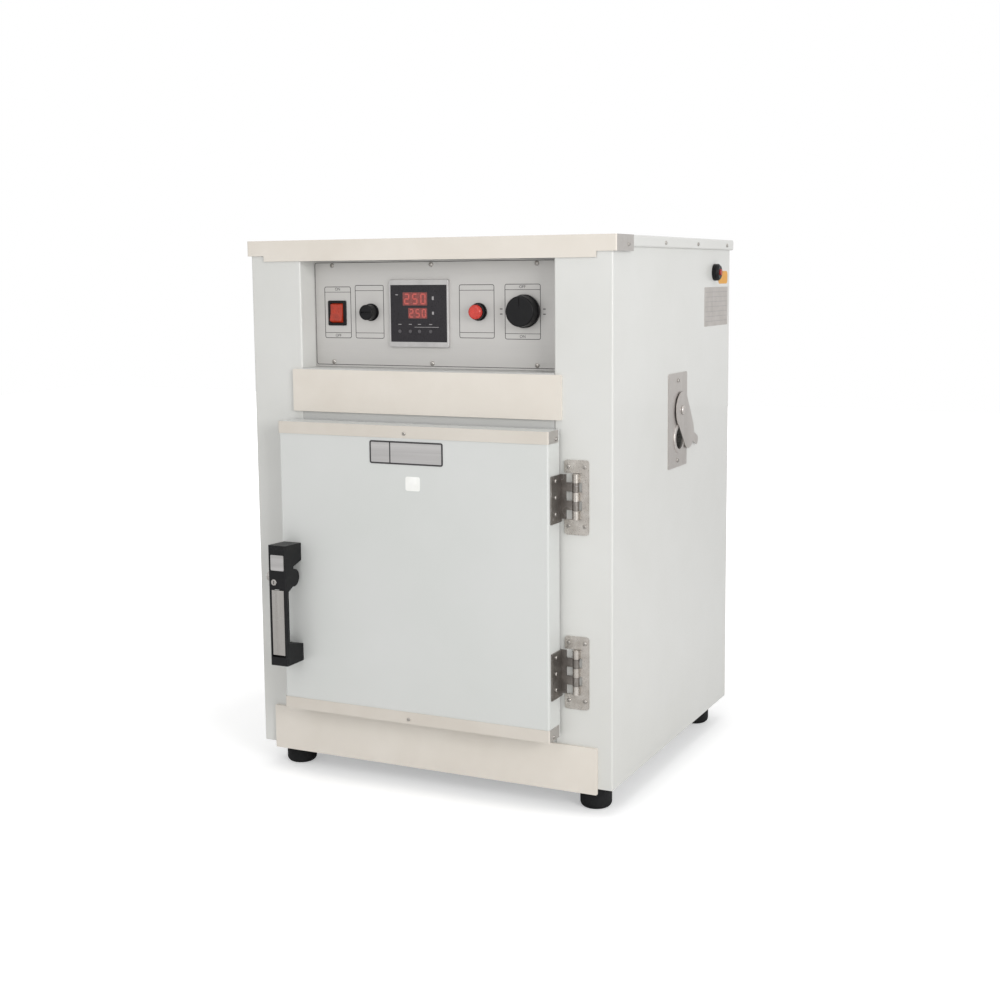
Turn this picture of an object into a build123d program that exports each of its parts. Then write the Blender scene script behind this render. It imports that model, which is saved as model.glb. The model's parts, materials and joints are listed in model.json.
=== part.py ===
from build123d import *

import os
from math import hypot

# Laboratory oven with a square side-hinged door, a recessed control panel and a vent in its right side.
# Millimetres. X to the right, Y to the back, Z up. The floor is Z = 0, and the front faces -Y.

# Cabinet
WIDTH = 570.0
DEPTH = 518.0
BODY_HEIGHT = 755.0
SHEET = 1.2
OUTER_BEND = 2.4
INNER_BEND = 0.5
FLANGE = 14.0
PILASTER = 84.5
RECESS_DEPTH = 37.0
SILL_HEIGHT = 571.0
RECESS_TOP = 725.0
FIT = 0.3

# Feet
FOOT_HEIGHT = 39.0
FOOT_RADIUS = 22.5
FOOT_INSET = 40.0
FOOT_ROUND = 8.0
FOOT_BOLT_RADIUS = 4.0

# Lid and its front trim
LID_OVERHANG = 5.9
LID_LIP = 16.0
TRIM_SHEET = 0.8
TRIM_HEIGHT = 22.0
TRIM_RETURN = 61.0
TRIM_DROP = 8.0
TRIM_DROP_INSET = 23.0

# Chamber and its insulation
CHAMBER = 355.0
CHAMBER_CORNER = 12.0
LINER_SHEET = 1.0
LINER_FLANGE = 15.0
INSULATION = 60.0

# Door
DOOR_LEFT = 68.0
DOOR_BOTTOM = 70.0
DOOR_SIZE = 426.0
DOOR_FRONT = 41.0
GASKET = 3.7
PLUG_GAP = 5.0
PLUG_DEPTH = 16.0
DOOR_TRIM_HEIGHT = 17.0
DOOR_TRIM_SHEET = 1.0
DOOR_TRIM_RETURN = 33.0

# Hinges
HINGE_X = 518.5
KNUCKLE_RADIUS = 4.75
HINGE_PIN_RADIUS = 2.5
RUNNING_FIT = 0.05
LEAF_SHEET = 2.2
FRAME_LEAF_LEFT = 500.5
FRAME_LEAF_RIGHT = 536.0
FRAME_LEAF_HEIGHT = 102.0
FRAME_LEAF_BELOW = 21.0
NOTCH_RIGHT = 526.5
KNUCKLES = 5
KNUCKLE_HEIGHT = 12.6
KNUCKLE_GAP = 0.4
HINGE_BOTTOMS = (131.0, 374.0)
DOOR_LEAF_DEPTH = 34.7

# Latch on the door's left side
LATCH_LEFT = 71.6
LATCH_WIDTH = 29.0
LATCH_BOTTOM = 144.5
LATCH_TOP = 321.0
LATCH_FRONT = 83.0
PIVOT_Y = -62.0
PIVOT_Z = 271.0
PIVOT_RADIUS = 4.0
HUB_RADIUS = 6.5
PADDLE_LEFT = 76.0
PADDLE_RIGHT = 96.5
PADDLE_BOTTOM = 160.0
PADDLE_TOP = 255.5
PADDLE_SHEET = 2.5
ARM_LEFT = 58.5
ARM_WIDTH = 6.5
ARM_REACH_Y = -9.5
KEEPER_Y = -20.0
KEEPER_Z = 262.0
KEEPER_RADIUS = 3.5
STORED_GAP = 0.4
LOCK_X = 80.5
LOCK_Z = 267.0
LOCK_RADIUS = 4.5
LOCK_PROUD = 0.8

# Vent in the right side
VENT_Y = 266.0
VENT_Z = 460.0
VENT_DROP = 24.0
VENT_RADIUS = 16.5
RIM_RADIUS = 22.7
RIM_RAISE = 1.5
VENT_PLATE_FRONT = 220.0
VENT_PLATE_BACK = 303.0
VENT_PLATE_BOTTOM = 417.0
VENT_PLATE_TOP = 557.0
SHUTTER_PIVOT_Y = 275.0
SHUTTER_PIVOT_Z = 501.0
SHUTTER_HEAD = 27.5
SHUTTER_LOBE = 24.0
SHUTTER_LOBE_Y = 304.0
SHUTTER_LOBE_Z = 465.0
SHUTTER_SHEET = 1.2
SHUTTER_PIN = 3.0

# Reset button of the cut-out thermostat, in the right side
RESET_Y = 435.5
RESET_Z = 704.0
RESET_RADIUS = 13.0
RESET_BEZEL = 10.0
RESET_REACH = 12.0
RESET_BUTTON = 5.0
RESET_TRAVEL = 2.0
RESET_WELL = 8.0

# Front band and plinth
COVER_PROUD = 4.0
BAND_LEFT = 70.0
BAND_RIGHT = 497.0
BAND_BOTTOM = 508.0
BAND_TOP = 569.0
PLINTH_LEFT = 22.6
PLINTH_RIGHT = 548.5
PLINTH_BOTTOM = -8.0
PLINTH_TOP = 58.0

# Controls on the panel
CONTROLLER_X = 260.85
CONTROLLER_Z = 649.4
CONTROLLER_SIZE = 96.0
CONTROLLER_CASE = 91.5
CONTROLLER_PROUD = 4.0
CONTROLLER_DEPTH = 65.0
FACE_WIDTH = 91.0
FACE_HEIGHT = 81.0
KEY_XS = (230.0, 247.0, 262.0, 280.0)
KEY_Z = 624.0
KEY_RADIUS = 2.5
KEY_TRAVEL = 0.6
ROCKER_X = 123.7
ROCKER_Z = 649.6
ROCKER_BEZEL_WIDTH = 30.6
ROCKER_BEZEL_HEIGHT = 36.3
ROCKER_WIDTH = 20.0
ROCKER_RADIUS = 13.8
ROCKER_TILT = 16.0
ROCKER_PIN = 1.5
FUSE_X = 181.0
FUSE_Z = 651.0
FUSE_RADIUS = 11.0
FUSE_REACH = 17.0
LAMP_X = 355.0
LAMP_Z = 652.0
LAMP_RADIUS = 11.0
LAMP_REACH = 16.0
BASE_RING_RADIUS = 12.5
BASE_RING = 2.5
KNOB_X = 426.0
KNOB_Z = 653.0
KNOB_RADIUS = 23.0
KNOB_REACH = 20.0
KNOB_SHAFT = 3.0

# Inside the chamber
ELEMENT_RADIUS = 4.0
ELEMENT_HEIGHT = 16.0
ELEMENT_SPREAD = 70.0
ELEMENT_XS = (206.0, 356.0)
COVER_HEIGHT = 32.0
RACK_SHEET = 1.5
RUNNER_LEG = 12.0
RUNNER_LEVELS = (75.0, 160.0, 245.0)
SHELF_LEVELS = (0, 2)
SHELF_FRAME_ROD = 3.0
SHELF_WIRE_ROD = 1.75
SHELF_WIRES = 13
SHELF_DEPTH = 300.0
SHELF_FRONT = 46.0
SHELF_SIDE_GAP = 2.0
PROBE_RADIUS = 3.0
PROBE_X = 330.0
PROBE_Z = 400.0
PROBE_LENGTH = 60.0

# Back
GLAND_REACH = 22.0
GLAND_X = 500.0
GLAND_Z = 90.0
GLAND_RADIUS = 12.0
CABLE_BORE = 4.2
LOUVRE_RADIUS = 8.0
LOUVRE_LENGTH = 80.0
LOUVRE_PITCH = 20.0
LOUVRE_ROWS = 6
LOUVRE_COLUMN_XS = (185.0, 385.0)
LOUVRE_BOTTOM = 600.0

# Screws
SCREW_RADIUS = 1.75
SCREW_HOLE = 1.9
SCREW_HEAD = 3.3
SCREW_HEAD_HEIGHT = 1.8
SCREW_LENGTH = 7.0

# Frame of the whole oven: its outer box is centred on X = 0 and Y = 0
LEFT = (LID_OVERHANG + SCREW_HEAD_HEIGHT - WIDTH - RESET_REACH) / 2
RIGHT = LEFT + WIDTH
FRONT = (LATCH_FRONT + LOCK_PROUD - DEPTH - GLAND_REACH) / 2
BACK = FRONT + DEPTH
BASE = FOOT_HEIGHT
TOP = BASE + BODY_HEIGHT
MIDDLE = (LEFT + RIGHT) / 2
PANEL_FACE = FRONT + RECESS_DEPTH
PANEL_LEFT = LEFT + PILASTER
PANEL_RIGHT = RIGHT - PILASTER
DOOR_X = LEFT + DOOR_LEFT + DOOR_SIZE / 2
DOOR_Z = BASE + DOOR_BOTTOM + DOOR_SIZE / 2
CHAMBER_LEFT = DOOR_X - CHAMBER / 2
CHAMBER_RIGHT = DOOR_X + CHAMBER / 2
CHAMBER_FLOOR = DOOR_Z - CHAMBER / 2
CHAMBER_CEILING = DOOR_Z + CHAMBER / 2
CHAMBER_BACK = FRONT + CHAMBER
LINER_FRONT = FRONT + SHEET
HINGE_AXIS_X = LEFT + HINGE_X
HINGE_AXIS_Y = FRONT - FIT - KNUCKLE_RADIUS
DOOR_FACE = FRONT - DOOR_FRONT
DOOR_BACK = FRONT - FIT - GASKET
DOOR_EDGE_LEFT = LEFT + DOOR_LEFT
DOOR_EDGE_RIGHT = DOOR_EDGE_LEFT + DOOR_SIZE
DOOR_EDGE_BOTTOM = BASE + DOOR_BOTTOM
DOOR_EDGE_TOP = DOOR_EDGE_BOTTOM + DOOR_SIZE
INSULATION_BACK = CHAMBER_BACK + LINER_SHEET + INSULATION
TERMINAL_END = INSULATION_BACK + 22.0

os.makedirs("parts", exist_ok=True)


def block(x, y, z, mode=Mode.ADD):
    """A rectangular block, given by its limits along each axis."""
    with Locations(((x[0] + x[1]) / 2, (y[0] + y[1]) / 2, (z[0] + z[1]) / 2)):
        Box(x[1] - x[0], y[1] - y[0], z[1] - z[0], mode=mode)


def rod(start, direction, radius, length, mode=Mode.ADD):
    """A round rod that starts at a point and runs along a direction."""
    with Locations(Plane(origin=start, z_dir=direction)):
        Cylinder(radius, length, align=(Align.CENTER, Align.CENTER, Align.MIN), mode=mode)


def front_plane(y):
    """A plane that faces the front, with X to the right and Z up."""
    return Plane.XZ.offset(-y)


def bent_section(points, bends, thickness, side, plane):
    """The section of a bent sheet, from the line of its visible face."""
    with BuildSketch(plane) as section:
        with BuildLine():
            FilletPolyline(*points, radius=bends)
            offset(amount=thickness, side=side)
        make_face()
    return section.sketch


def screw(seat, direction, length=SCREW_LENGTH, head=SCREW_HEAD, shank=SCREW_RADIUS):
    """A pan-head screw whose head stands on its seat and whose shank runs along the direction."""
    out = Vector(*direction) * -1
    rod(seat, out, head, SCREW_HEAD_HEIGHT)
    rod(seat, direction, shank, length)


def screw_hole(seat, direction, depth, radius=SCREW_HOLE):
    """A clearance hole for a screw, from a little before its seat."""
    start = Vector(*seat) - Vector(*direction)
    rod(start, direction, radius, depth + 1, Mode.SUBTRACT)


def finish(name, builder):
    """Label a finished piece and write it."""
    builder.part.label = name
    export_step(builder.part, f"parts/{name}.step")


# Places of the screws
LID_SCREW_YS = (192.0, 338.0, 484.0)
LID_SCREW_Z = TOP - LID_LIP + 7
TRIM_SCREW = (FRONT + 42, TOP - 13)
PANEL_SCREWS = [(LEFT + x, BASE + z) for x in (116.0, 280.0, 444.0) for z in (578.5, 718.5)]
VENT_SCREWS = ((FRONT + 262, BASE + 546), (FRONT + 261, BASE + 427))
BACK_SCREW_ZS = (30.0, 250.0, 480.0, 710.0)
BACK_SCREW_INSET = 8.0
LID_SIDE = LEFT - LID_OVERHANG + TRIM_SHEET

# Side panels: one sheet each makes the cheek of the recess, the pilaster, the side and a back flange
SIDE_HEIGHT = BODY_HEIGHT - SHEET


def side_shell():
    """The left side panel without its screw holes."""
    plan = bent_section(
        [
            (PANEL_LEFT, PANEL_FACE + SHEET),
            (PANEL_LEFT, FRONT),
            (LEFT, FRONT),
            (LEFT, BACK),
            (LEFT + FLANGE, BACK),
        ],
        OUTER_BEND,
        SHEET,
        Side.RIGHT,
        Plane.XY.offset(BASE),
    )
    with BuildPart() as shell:
        extrude(plan, amount=SIDE_HEIGHT)
        block(
            (PANEL_LEFT - SHEET - 1, PANEL_LEFT + 1),
            (FRONT + FLANGE, PANEL_FACE + SHEET + 1),
            (BASE - 1, BASE + SILL_HEIGHT - SHEET),
            Mode.SUBTRACT,
        )
        for y in LID_SCREW_YS:
            screw_hole((LEFT, FRONT + y, LID_SCREW_Z), (1, 0, 0), SHEET + 1)
        screw_hole((LEFT, *TRIM_SCREW), (1, 0, 0), SHEET + 1)
        for z in BACK_SCREW_ZS:
            screw_hole((LEFT + BACK_SCREW_INSET, BACK + 1, BASE + z), (0, -1, 0), SHEET + 3)
    return shell.part


with BuildPart() as left_side_panel:
    add(side_shell())
finish("left_side_panel", left_side_panel)

DUCT_WALL = 1.0
DUCT_START = CHAMBER_RIGHT
DUCT_RUN = RIGHT - DUCT_START
DUCT_LENGTH = hypot(DUCT_RUN, VENT_DROP)
DUCT_DIRECTION = (DUCT_RUN, 0, VENT_DROP)
VENT_CENTRE = (FRONT + VENT_Y, BASE + VENT_Z)
DUCT_CENTRE = (FRONT + VENT_Y, BASE + VENT_Z - VENT_DROP)
DUCT_OUTER = VENT_RADIUS + DUCT_WALL


def duct_shape(radius):
    """The slanted round passage from the chamber's wall to the side panel's outer face."""
    with BuildPart() as passage:
        with BuildSketch(Plane.YZ.offset(DUCT_START)):
            with Locations(DUCT_CENTRE):
                Circle(radius)
        extrude(amount=DUCT_LENGTH, dir=DUCT_DIRECTION)
    return passage.part


HINGE_SCREW_XS = (506.6, 530.5)
HINGE_SCREW_ZS = (-9.0, 72.0)
HINGE_SCREWS = [
    (LEFT + x, BASE + bottom + z) for bottom in HINGE_BOTTOMS for x in HINGE_SCREW_XS for z in HINGE_SCREW_ZS
]

with BuildPart() as right_side_panel:
    add(side_shell().mirror(Plane.YZ.offset(MIDDLE)))
    with BuildSketch(Plane.YZ.offset(RIGHT + 1)) as right_holes:
        with Locations(VENT_CENTRE):
            Circle(DUCT_OUTER + 1)
        with Locations((FRONT + RESET_Y, BASE + RESET_Z)):
            Circle(8.2)
    extrude(amount=-SHEET - 2, mode=Mode.SUBTRACT)
    for y, z in VENT_SCREWS:
        screw_hole((RIGHT, y, z), (-1, 0, 0), SHEET + 1)
    for x, z in HINGE_SCREWS:
        screw_hole((x, FRONT, z), (0, 1, 0), SHEET + 1)
finish("right_side_panel", right_side_panel)

# Front frame: a plate with the chamber's mouth, folded back as the sill of the recess
with BuildPart() as front_frame:
    extrude(
        bent_section(
            [
                (FRONT, BASE),
                (FRONT, BASE + SILL_HEIGHT),
                (PANEL_FACE + SHEET, BASE + SILL_HEIGHT),
                (PANEL_FACE + SHEET, BASE + SILL_HEIGHT + FLANGE),
            ],
            [OUTER_BEND, INNER_BEND],
            SHEET,
            Side.RIGHT,
            Plane.YZ.offset(PANEL_LEFT),
        ),
        amount=PANEL_RIGHT - PANEL_LEFT,
    )
    for x in (PANEL_LEFT, PANEL_RIGHT - SHEET):
        block((x, x + SHEET), (FRONT + SHEET, FRONT + FLANGE), (BASE, BASE + SILL_HEIGHT - SHEET))
    with BuildSketch(front_plane(FRONT - 1)) as mouth:
        with Locations((DOOR_X, DOOR_Z)):
            RectangleRounded(CHAMBER, CHAMBER, CHAMBER_CORNER)
    extrude(amount=-SHEET - 2, mode=Mode.SUBTRACT)
    for x, z in PANEL_SCREWS:
        if z < BASE + SILL_HEIGHT + FLANGE:
            screw_hole((x, PANEL_FACE, z), (0, 1, 0), 2 * SHEET + 1)
finish("front_frame", front_frame)

# Top rail: closes the recess above the panel and carries the lid's front edge
with BuildPart() as top_rail:
    extrude(
        bent_section(
            [
                (FRONT, TOP - SHEET),
                (FRONT, BASE + RECESS_TOP),
                (PANEL_FACE + SHEET, BASE + RECESS_TOP),
                (PANEL_FACE + SHEET, BASE + RECESS_TOP - FLANGE),
            ],
            [OUTER_BEND, INNER_BEND],
            SHEET,
            Side.LEFT,
            Plane.YZ.offset(PANEL_LEFT),
        ),
        amount=PANEL_RIGHT - PANEL_LEFT,
    )
    for x, z in PANEL_SCREWS:
        if z > BASE + RECESS_TOP - FLANGE:
            screw_hole((x, PANEL_FACE, z), (0, 1, 0), 2 * SHEET + 1)
finish("top_rail", top_rail)

# Control panel with a cut-out for each control
with BuildPart() as control_panel:
    block(
        (PANEL_LEFT + FIT, PANEL_RIGHT - FIT),
        (PANEL_FACE, PANEL_FACE + SHEET),
        (BASE + SILL_HEIGHT + INNER_BEND, BASE + RECESS_TOP - INNER_BEND),
    )
    with BuildSketch(front_plane(PANEL_FACE - 1)) as cutouts:
        with Locations((LEFT + CONTROLLER_X, BASE + CONTROLLER_Z)):
            Rectangle(CONTROLLER_CASE + 1, CONTROLLER_CASE + 1)
        with Locations((LEFT + ROCKER_X, BASE + ROCKER_Z)):
            Rectangle(ROCKER_BEZEL_WIDTH - 3, ROCKER_BEZEL_HEIGHT - 3)
        with Locations((LEFT + FUSE_X, BASE + FUSE_Z), (LEFT + LAMP_X, BASE + LAMP_Z)):
            Circle(BASE_RING_RADIUS - 3.2)
        with Locations((LEFT + KNOB_X, BASE + KNOB_Z)):
            Circle(5.2)
    extrude(amount=-SHEET - 2, mode=Mode.SUBTRACT)
    for x, z in PANEL_SCREWS:
        screw_hole((x, PANEL_FACE, z), (0, 1, 0), SHEET + 1)
finish("control_panel", control_panel)

# Lid: folded down at the sides and tucked back in to the side panels
with BuildPart() as top_cover:
    lid_left = LID_SIDE
    lid_right = RIGHT + LID_OVERHANG - TRIM_SHEET
    extrude(
        bent_section(
            [
                (LEFT, TOP - LID_LIP),
                (lid_left, TOP - LID_LIP),
                (lid_left, TOP),
                (lid_right, TOP),
                (lid_right, TOP - LID_LIP),
                (RIGHT, TOP - LID_LIP),
            ],
            OUTER_BEND,
            SHEET,
            Side.RIGHT,
            front_plane(BACK + SHEET),
        ),
        amount=DEPTH + SHEET - INNER_BEND,
    )
    block((lid_left + OUTER_BEND, lid_right - OUTER_BEND), (FRONT - SHEET, FRONT + 1), (TOP - SHEET, TOP))
    block((LEFT, RIGHT), (FRONT - SHEET, FRONT), (TOP - LID_LIP, TOP - SHEET))
    block((LEFT, RIGHT), (BACK, BACK + SHEET), (TOP - LID_LIP, TOP - SHEET))
    for y in LID_SCREW_YS:
        screw_hole((lid_left, FRONT + y, LID_SCREW_Z), (1, 0, 0), SHEET + 1)
        screw_hole((lid_right, FRONT + y, LID_SCREW_Z), (-1, 0, 0), SHEET + 1)
    screw_hole((lid_left, *TRIM_SCREW), (1, 0, 0), SHEET + 1)
    screw_hole((lid_right, *TRIM_SCREW), (-1, 0, 0), SHEET + 1)
finish("top_cover", top_cover)

# Front trim of the lid: a strip that returns along both sides and is deeper over the recess
with BuildPart() as top_front_trim:
    trim_left = LEFT - LID_OVERHANG
    trim_right = RIGHT + LID_OVERHANG
    trim_face = FRONT - SHEET - TRIM_SHEET
    extrude(
        bent_section(
            [
                (trim_left, FRONT + TRIM_RETURN),
                (trim_left, trim_face),
                (trim_right, trim_face),
                (trim_right, FRONT + TRIM_RETURN),
            ],
            OUTER_BEND,
            TRIM_SHEET,
            Side.LEFT,
            Plane.XY.offset(TOP - TRIM_HEIGHT),
        ),
        amount=TRIM_HEIGHT,
    )
    block(
        (LEFT + TRIM_DROP_INSET, RIGHT - TRIM_DROP_INSET),
        (trim_face, trim_face + TRIM_SHEET),
        (TOP - TRIM_HEIGHT - TRIM_DROP, TOP - TRIM_HEIGHT),
    )
    screw_hole((trim_left, *TRIM_SCREW), (1, 0, 0), TRIM_SHEET + 1)
    screw_hole((trim_right, *TRIM_SCREW), (-1, 0, 0), TRIM_SHEET + 1)
finish("top_front_trim", top_front_trim)

# Back panel with pressed louvres for the control compartment
BACK_FACE = BACK + SHEET
with BuildPart() as back_panel:
    with BuildSketch(front_plane(BACK)) as back_plate:
        with Locations((MIDDLE, BASE + (BODY_HEIGHT - LID_LIP) / 2)):
            RectangleRounded(WIDTH - 4, BODY_HEIGHT - LID_LIP - 4, 3)
        with Locations((LEFT + GLAND_X, BASE + GLAND_Z)):
            Circle(GLAND_RADIUS - 3.8, mode=Mode.SUBTRACT)
    extrude(amount=-SHEET)
    for x in LOUVRE_COLUMN_XS:
        for row in range(LOUVRE_ROWS):
            foot = BASE + LOUVRE_BOTTOM + row * LOUVRE_PITCH
            block(
                (LEFT + x - LOUVRE_LENGTH / 2 + SHEET, LEFT + x + LOUVRE_LENGTH / 2 - SHEET),
                (BACK - 1, BACK_FACE + 1),
                (foot, foot + LOUVRE_RADIUS - SHEET),
                Mode.SUBTRACT,
            )
    for x in LOUVRE_COLUMN_XS:
        with BuildSketch(Plane.YZ.offset(LEFT + x - LOUVRE_LENGTH / 2)) as hood_outer:
            for row in range(LOUVRE_ROWS):
                with Locations((BACK_FACE, BASE + LOUVRE_BOTTOM + row * LOUVRE_PITCH)):
                    Circle(LOUVRE_RADIUS)
            for row in range(LOUVRE_ROWS):
                with Locations((BACK_FACE, BASE + LOUVRE_BOTTOM + row * LOUVRE_PITCH)):
                    Rectangle(
                        2 * LOUVRE_RADIUS, LOUVRE_RADIUS, align=(Align.CENTER, Align.MAX), mode=Mode.SUBTRACT
                    )
                    Rectangle(
                        LOUVRE_RADIUS, 2 * LOUVRE_RADIUS, align=(Align.MAX, Align.CENTER), mode=Mode.SUBTRACT
                    )
        extrude(amount=LOUVRE_LENGTH)
        with BuildSketch(Plane.YZ.offset(LEFT + x - LOUVRE_LENGTH / 2 + SHEET)) as hood_inner:
            for row in range(LOUVRE_ROWS):
                with Locations((BACK_FACE, BASE + LOUVRE_BOTTOM + row * LOUVRE_PITCH)):
                    Circle(LOUVRE_RADIUS - SHEET)
            for row in range(LOUVRE_ROWS):
                with Locations((BACK_FACE, BASE + LOUVRE_BOTTOM + row * LOUVRE_PITCH)):
                    Rectangle(
                        LOUVRE_RADIUS, 2 * LOUVRE_RADIUS, align=(Align.MAX, Align.CENTER), mode=Mode.SUBTRACT
                    )
                    Rectangle(
                        2 * LOUVRE_RADIUS, LOUVRE_RADIUS, align=(Align.CENTER, Align.MAX), mode=Mode.SUBTRACT
                    )
        extrude(amount=LOUVRE_LENGTH - 2 * SHEET, mode=Mode.SUBTRACT)
    for x in (LEFT + BACK_SCREW_INSET, RIGHT - BACK_SCREW_INSET):
        for z in BACK_SCREW_ZS:
            screw_hole((x, BACK_FACE, BASE + z), (0, -1, 0), SHEET + 1)
finish("back_panel", back_panel)

# Base pan: a tray between the side panels
FOOT_YS = (FRONT + FOOT_INSET, BACK - FOOT_INSET)
FEET = [(x, y) for x in (LEFT + FOOT_INSET, RIGHT - FOOT_INSET) for y in FOOT_YS]
with BuildPart() as base_pan:
    pan_left = LEFT + SHEET
    pan_right = RIGHT - SHEET
    pan_front = FRONT + FLANGE + FIT
    pan_back = BACK - SHEET
    block((pan_left, pan_right), (pan_front, pan_back), (BASE, BASE + 25))
    block(
        (pan_left + SHEET, pan_right - SHEET),
        (pan_front + SHEET, pan_back - SHEET),
        (BASE + SHEET, BASE + 26),
        Mode.SUBTRACT,
    )
    fillet(base_pan.edges().filter_by(Axis.Z).filter_by(lambda edge: edge.length > 24), OUTER_BEND / 2)
    for x, y in FEET:
        rod((x, y, BASE - 1), (0, 0, 1), FOOT_BOLT_RADIUS + 0.3, SHEET + 2, Mode.SUBTRACT)
finish("base_pan", base_pan)

with BuildPart() as feet:
    with BuildSketch(Plane.XZ) as foot_half:
        Rectangle(FOOT_RADIUS, FOOT_HEIGHT, align=(Align.MIN, Align.MIN))
        lower = foot_half.vertices().group_by(Axis.Y)[0].sort_by(Axis.X)[-1]
        fillet(lower, FOOT_ROUND)
        upper = foot_half.vertices().group_by(Axis.Y)[-1].sort_by(Axis.X)[-1]
        chamfer(upper, 1.5)
        Rectangle(FOOT_BOLT_RADIUS + 0.3, FOOT_HEIGHT, align=(Align.MIN, Align.MIN), mode=Mode.SUBTRACT)
        Rectangle(9.0, 22.0, align=(Align.MIN, Align.MIN), mode=Mode.SUBTRACT)
    one_foot = revolve(axis=Axis.Z, mode=Mode.PRIVATE)
    with Locations(*[(x, y, 0) for x, y in FEET]):
        add(one_foot)
finish("feet", feet)

with BuildPart() as foot_bolts:
    for x, y in FEET:
        rod((x, y, 22), (0, 0, 1), FOOT_BOLT_RADIUS, FOOT_HEIGHT - 22 + SHEET + 8)
        for z, height in ((16.0, 6.0), (BASE + SHEET, 6.0)):
            with BuildSketch(Plane.XY.offset(z)) as hexagon:
                with Locations((x, y)):
                    RegularPolygon(6.5, 6, major_radius=False)
            extrude(amount=height)
finish("foot_bolts", foot_bolts)


def thin_cover(left, right, bottom, top):
    """A shallow folded cover that stands proud of the cabinet's front, open at its back."""
    with BuildPart() as cover:
        block((left, right), (FRONT - COVER_PROUD, FRONT), (bottom, top))
        fillet(cover.edges().filter_by(Axis.Y), 1.5)
        block(
            (left + SHEET, right - SHEET),
            (FRONT - COVER_PROUD + SHEET, FRONT + 1),
            (bottom + SHEET, top - SHEET),
            Mode.SUBTRACT,
        )
    return cover.part


with BuildPart() as front_band:
    add(thin_cover(LEFT + BAND_LEFT, LEFT + BAND_RIGHT, BASE + BAND_BOTTOM, BASE + BAND_TOP))
finish("front_band", front_band)

with BuildPart() as plinth_panel:
    add(thin_cover(LEFT + PLINTH_LEFT, LEFT + PLINTH_RIGHT, BASE + PLINTH_BOTTOM, BASE + PLINTH_TOP))
finish("plinth_panel", plinth_panel)

# Chamber liner
LINER_OUTER = CHAMBER + 2 * LINER_SHEET
with BuildPart() as chamber_liner:
    with BuildSketch(front_plane(LINER_FRONT)) as liner_outer:
        with Locations((DOOR_X, DOOR_Z)):
            RectangleRounded(LINER_OUTER, LINER_OUTER, CHAMBER_CORNER + LINER_SHEET)
    extrude(amount=-(CHAMBER_BACK + LINER_SHEET - LINER_FRONT))
    with BuildSketch(front_plane(LINER_FRONT)) as liner_flange:
        with Locations((DOOR_X, DOOR_Z)):
            RectangleRounded(CHAMBER + 2 * LINER_FLANGE, CHAMBER + 2 * LINER_FLANGE, 5)
    extrude(amount=-LINER_SHEET)
    with BuildSketch(front_plane(LINER_FRONT)) as liner_inner:
        with Locations((DOOR_X, DOOR_Z)):
            RectangleRounded(CHAMBER, CHAMBER, CHAMBER_CORNER)
    extrude(amount=-(CHAMBER_BACK - LINER_FRONT), mode=Mode.SUBTRACT)
    with BuildSketch(Plane.YZ.offset(CHAMBER_RIGHT - 1)) as duct_hole:
        with Locations(DUCT_CENTRE):
            Circle(DUCT_OUTER + 1)
    extrude(amount=LINER_SHEET + 2, mode=Mode.SUBTRACT)
    with BuildSketch(front_plane(CHAMBER_BACK - 1)) as rear_holes:
        with Locations(
            *[
                (LEFT + x + side * ELEMENT_SPREAD / 2, CHAMBER_FLOOR + ELEMENT_HEIGHT)
                for x in ELEMENT_XS
                for side in (-1, 1)
            ]
        ):
            Circle(ELEMENT_RADIUS + FIT)
        with Locations((LEFT + PROBE_X, BASE + PROBE_Z)):
            Circle(PROBE_RADIUS + FIT)
    extrude(amount=-LINER_SHEET - 2, mode=Mode.SUBTRACT)
finish("chamber_liner", chamber_liner)

# Insulation slabs round the liner
with BuildPart() as insulation:
    wrap = LINER_SHEET + INSULATION
    block(
        (CHAMBER_LEFT - wrap, CHAMBER_RIGHT + wrap),
        (FRONT + FLANGE + 1, INSULATION_BACK),
        (CHAMBER_FLOOR - wrap, CHAMBER_CEILING + wrap),
    )
    with BuildSketch(front_plane(FRONT)) as liner_space:
        with Locations((DOOR_X, DOOR_Z)):
            RectangleRounded(LINER_OUTER, LINER_OUTER, CHAMBER_CORNER + LINER_SHEET)
    extrude(amount=-(CHAMBER + LINER_SHEET), mode=Mode.SUBTRACT)
    add(duct_shape(DUCT_OUTER + FIT), mode=Mode.SUBTRACT)
    for x in ELEMENT_XS:
        for side in (-1, 1):
            rod(
                (LEFT + x + side * ELEMENT_SPREAD / 2, CHAMBER_BACK, CHAMBER_FLOOR + ELEMENT_HEIGHT),
                (0, 1, 0),
                ELEMENT_RADIUS + FIT,
                INSULATION + 5,
                Mode.SUBTRACT,
            )
    probe_wall = (LEFT + PROBE_X, CHAMBER_BACK, BASE + PROBE_Z)
    rod(probe_wall, (0, 1, 0), PROBE_RADIUS + FIT, INSULATION + 5, Mode.SUBTRACT)
finish("insulation", insulation)

# Two channels on the base pan carry the insulated chamber
with BuildPart() as chamber_cradle:
    cradle_top = CHAMBER_FLOOR - wrap
    for x in (CHAMBER_LEFT + 20, CHAMBER_RIGHT - 60):
        block((x, x + 40), (FRONT + 60, INSULATION_BACK - 20), (BASE + SHEET, cradle_top))
        block((x + 1.5, x + 38.5), (FRONT + 50, INSULATION_BACK), (BASE, cradle_top - 1.5), Mode.SUBTRACT)
finish("chamber_cradle", chamber_cradle)

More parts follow.
